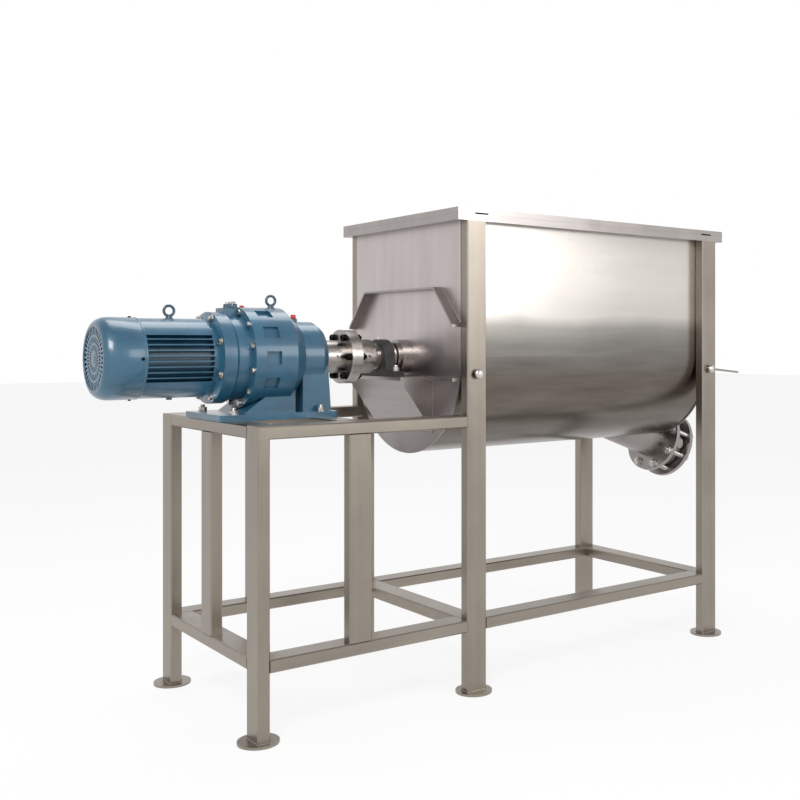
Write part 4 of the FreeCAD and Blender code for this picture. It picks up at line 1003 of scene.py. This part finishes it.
class SetStage(bpy.types.Operator):
    """Set the pale floor, the soft lamps, the room and the camera"""
    bl_idname = "mixer.set_stage"
    bl_label = "Stage"

    def execute(self, context):
        stage = context.scene.mixer.stage
        floor = start(bpy.ops.mesh.primitive_plane_add, "floor", size=stage.floor_size, location=(0, 0, 0))
        surface = bpy.data.materials.new("floor_white")
        surface.use_nodes = True
        maker = NodeMaker(surface.node_tree)
        maker.tree.nodes.clear()
        matt = maker.add("ShaderNodeBsdfDiffuse", {}, {"Color": FLOOR_COLOUR})
        white = maker.add("ShaderNodeEmission", {}, {"Color": WHITE, "Strength": 1.0})
        mixed = maker.add("ShaderNodeMixShader", {}, {0: seen_rays(maker) * FLOOR_SEEN, 1: matt, 2: white})
        maker.add("ShaderNodeOutputMaterial", {}, {"Surface": mixed}, output=None)
        floor.data.materials.append(surface)

        room = bpy.data.worlds.new("room")
        context.scene.world = room
        room.use_nodes = True
        maker = NodeMaker(room.node_tree)
        maker.tree.nodes.clear()
        direction = maker.add("ShaderNodeTexCoord", output="Generated")
        rise = maker.add("ShaderNodeSeparateXYZ", {}, {"Vector": direction}, output="Z")
        ceiling = maker.add("ShaderNodeValToRGB", {"stops": ROOM_STOPS}, {"Fac": rise})
        lit = maker.add("ShaderNodeBackground", {}, {"Color": WHITE, "Strength": stage.room})
        seen = maker.add("ShaderNodeBackground", {}, {"Color": ceiling, "Strength": 1.0})
        mixed = maker.add("ShaderNodeMixShader", {}, {0: seen_rays(maker), 1: lit, 2: seen})
        maker.add("ShaderNodeOutputWorld", {}, {"Surface": mixed}, output=None)

        lamp("key_lamp", *KEY_LAMP, stage.key_power)
        lamp("fill_lamp", *FILL_LAMP, stage.fill_power)
        lamp("top_lamp", *TOP_LAMP, stage.top_power)

        camera = start(bpy.ops.object.camera_add, "camera", location=CAMERA_PLACE,
                       rotation=(math.radians(90), 0, CAMERA_TURN))
        camera.data.lens, camera.data.sensor_width = stage.lens, 36.0
        camera.data.shift_x, camera.data.shift_y = CAMERA_SHIFT
        camera.data.clip_end = 200
        context.scene.camera = camera
        context.scene.view_settings.view_transform = "Standard"
        return {"FINISHED"}


class MixerPanel(bpy.types.Panel):
    bl_idname = "VIEW3D_PT_mixer"
    bl_label = "Ribbon blender"
    bl_space_type = "VIEW_3D"
    bl_region_type = "UI"
    bl_category = "Ribbon blender"

    def draw(self, context):
        for operator in OPERATORS:
            self.layout.operator(operator.bl_idname)
        for group in ("cover", "fasteners", "trim", "colours", "stage"):
            sizes = getattr(context.scene.mixer, group)
            block = self.layout.box()
            for name in sizes.__annotations__:
                block.prop(sizes, name)


GROUPS = (CoverSizes, FastenerSizes, TrimSizes, Colours, StageSettings, Settings)
OPERATORS = (DressPackedPieces, AddFanCover, AddLiftingEyes, AddDriveTrim, AddStudsAndNuts,
             AddCouplingScrews, AddKnobs, AddBearingTrim, AddWelds, SetStage)


def register():
    for part in GROUPS + OPERATORS + (MixerPanel,):
        bpy.utils.register_class(part)
    bpy.types.Scene.mixer = PointerProperty(type=Settings)


def unregister():
    del bpy.types.Scene.mixer
    for part in reversed(GROUPS + OPERATORS + (MixerPanel,)):
        bpy.utils.unregister_class(part)


def main():
    register()
    finishes.update(make_finishes(bpy.context.scene.mixer.colours))
    for operator in OPERATORS:
        family, name = operator.bl_idname.split(".")
        getattr(getattr(bpy.ops, family), name)()


if __name__ == "__main__":
    main()
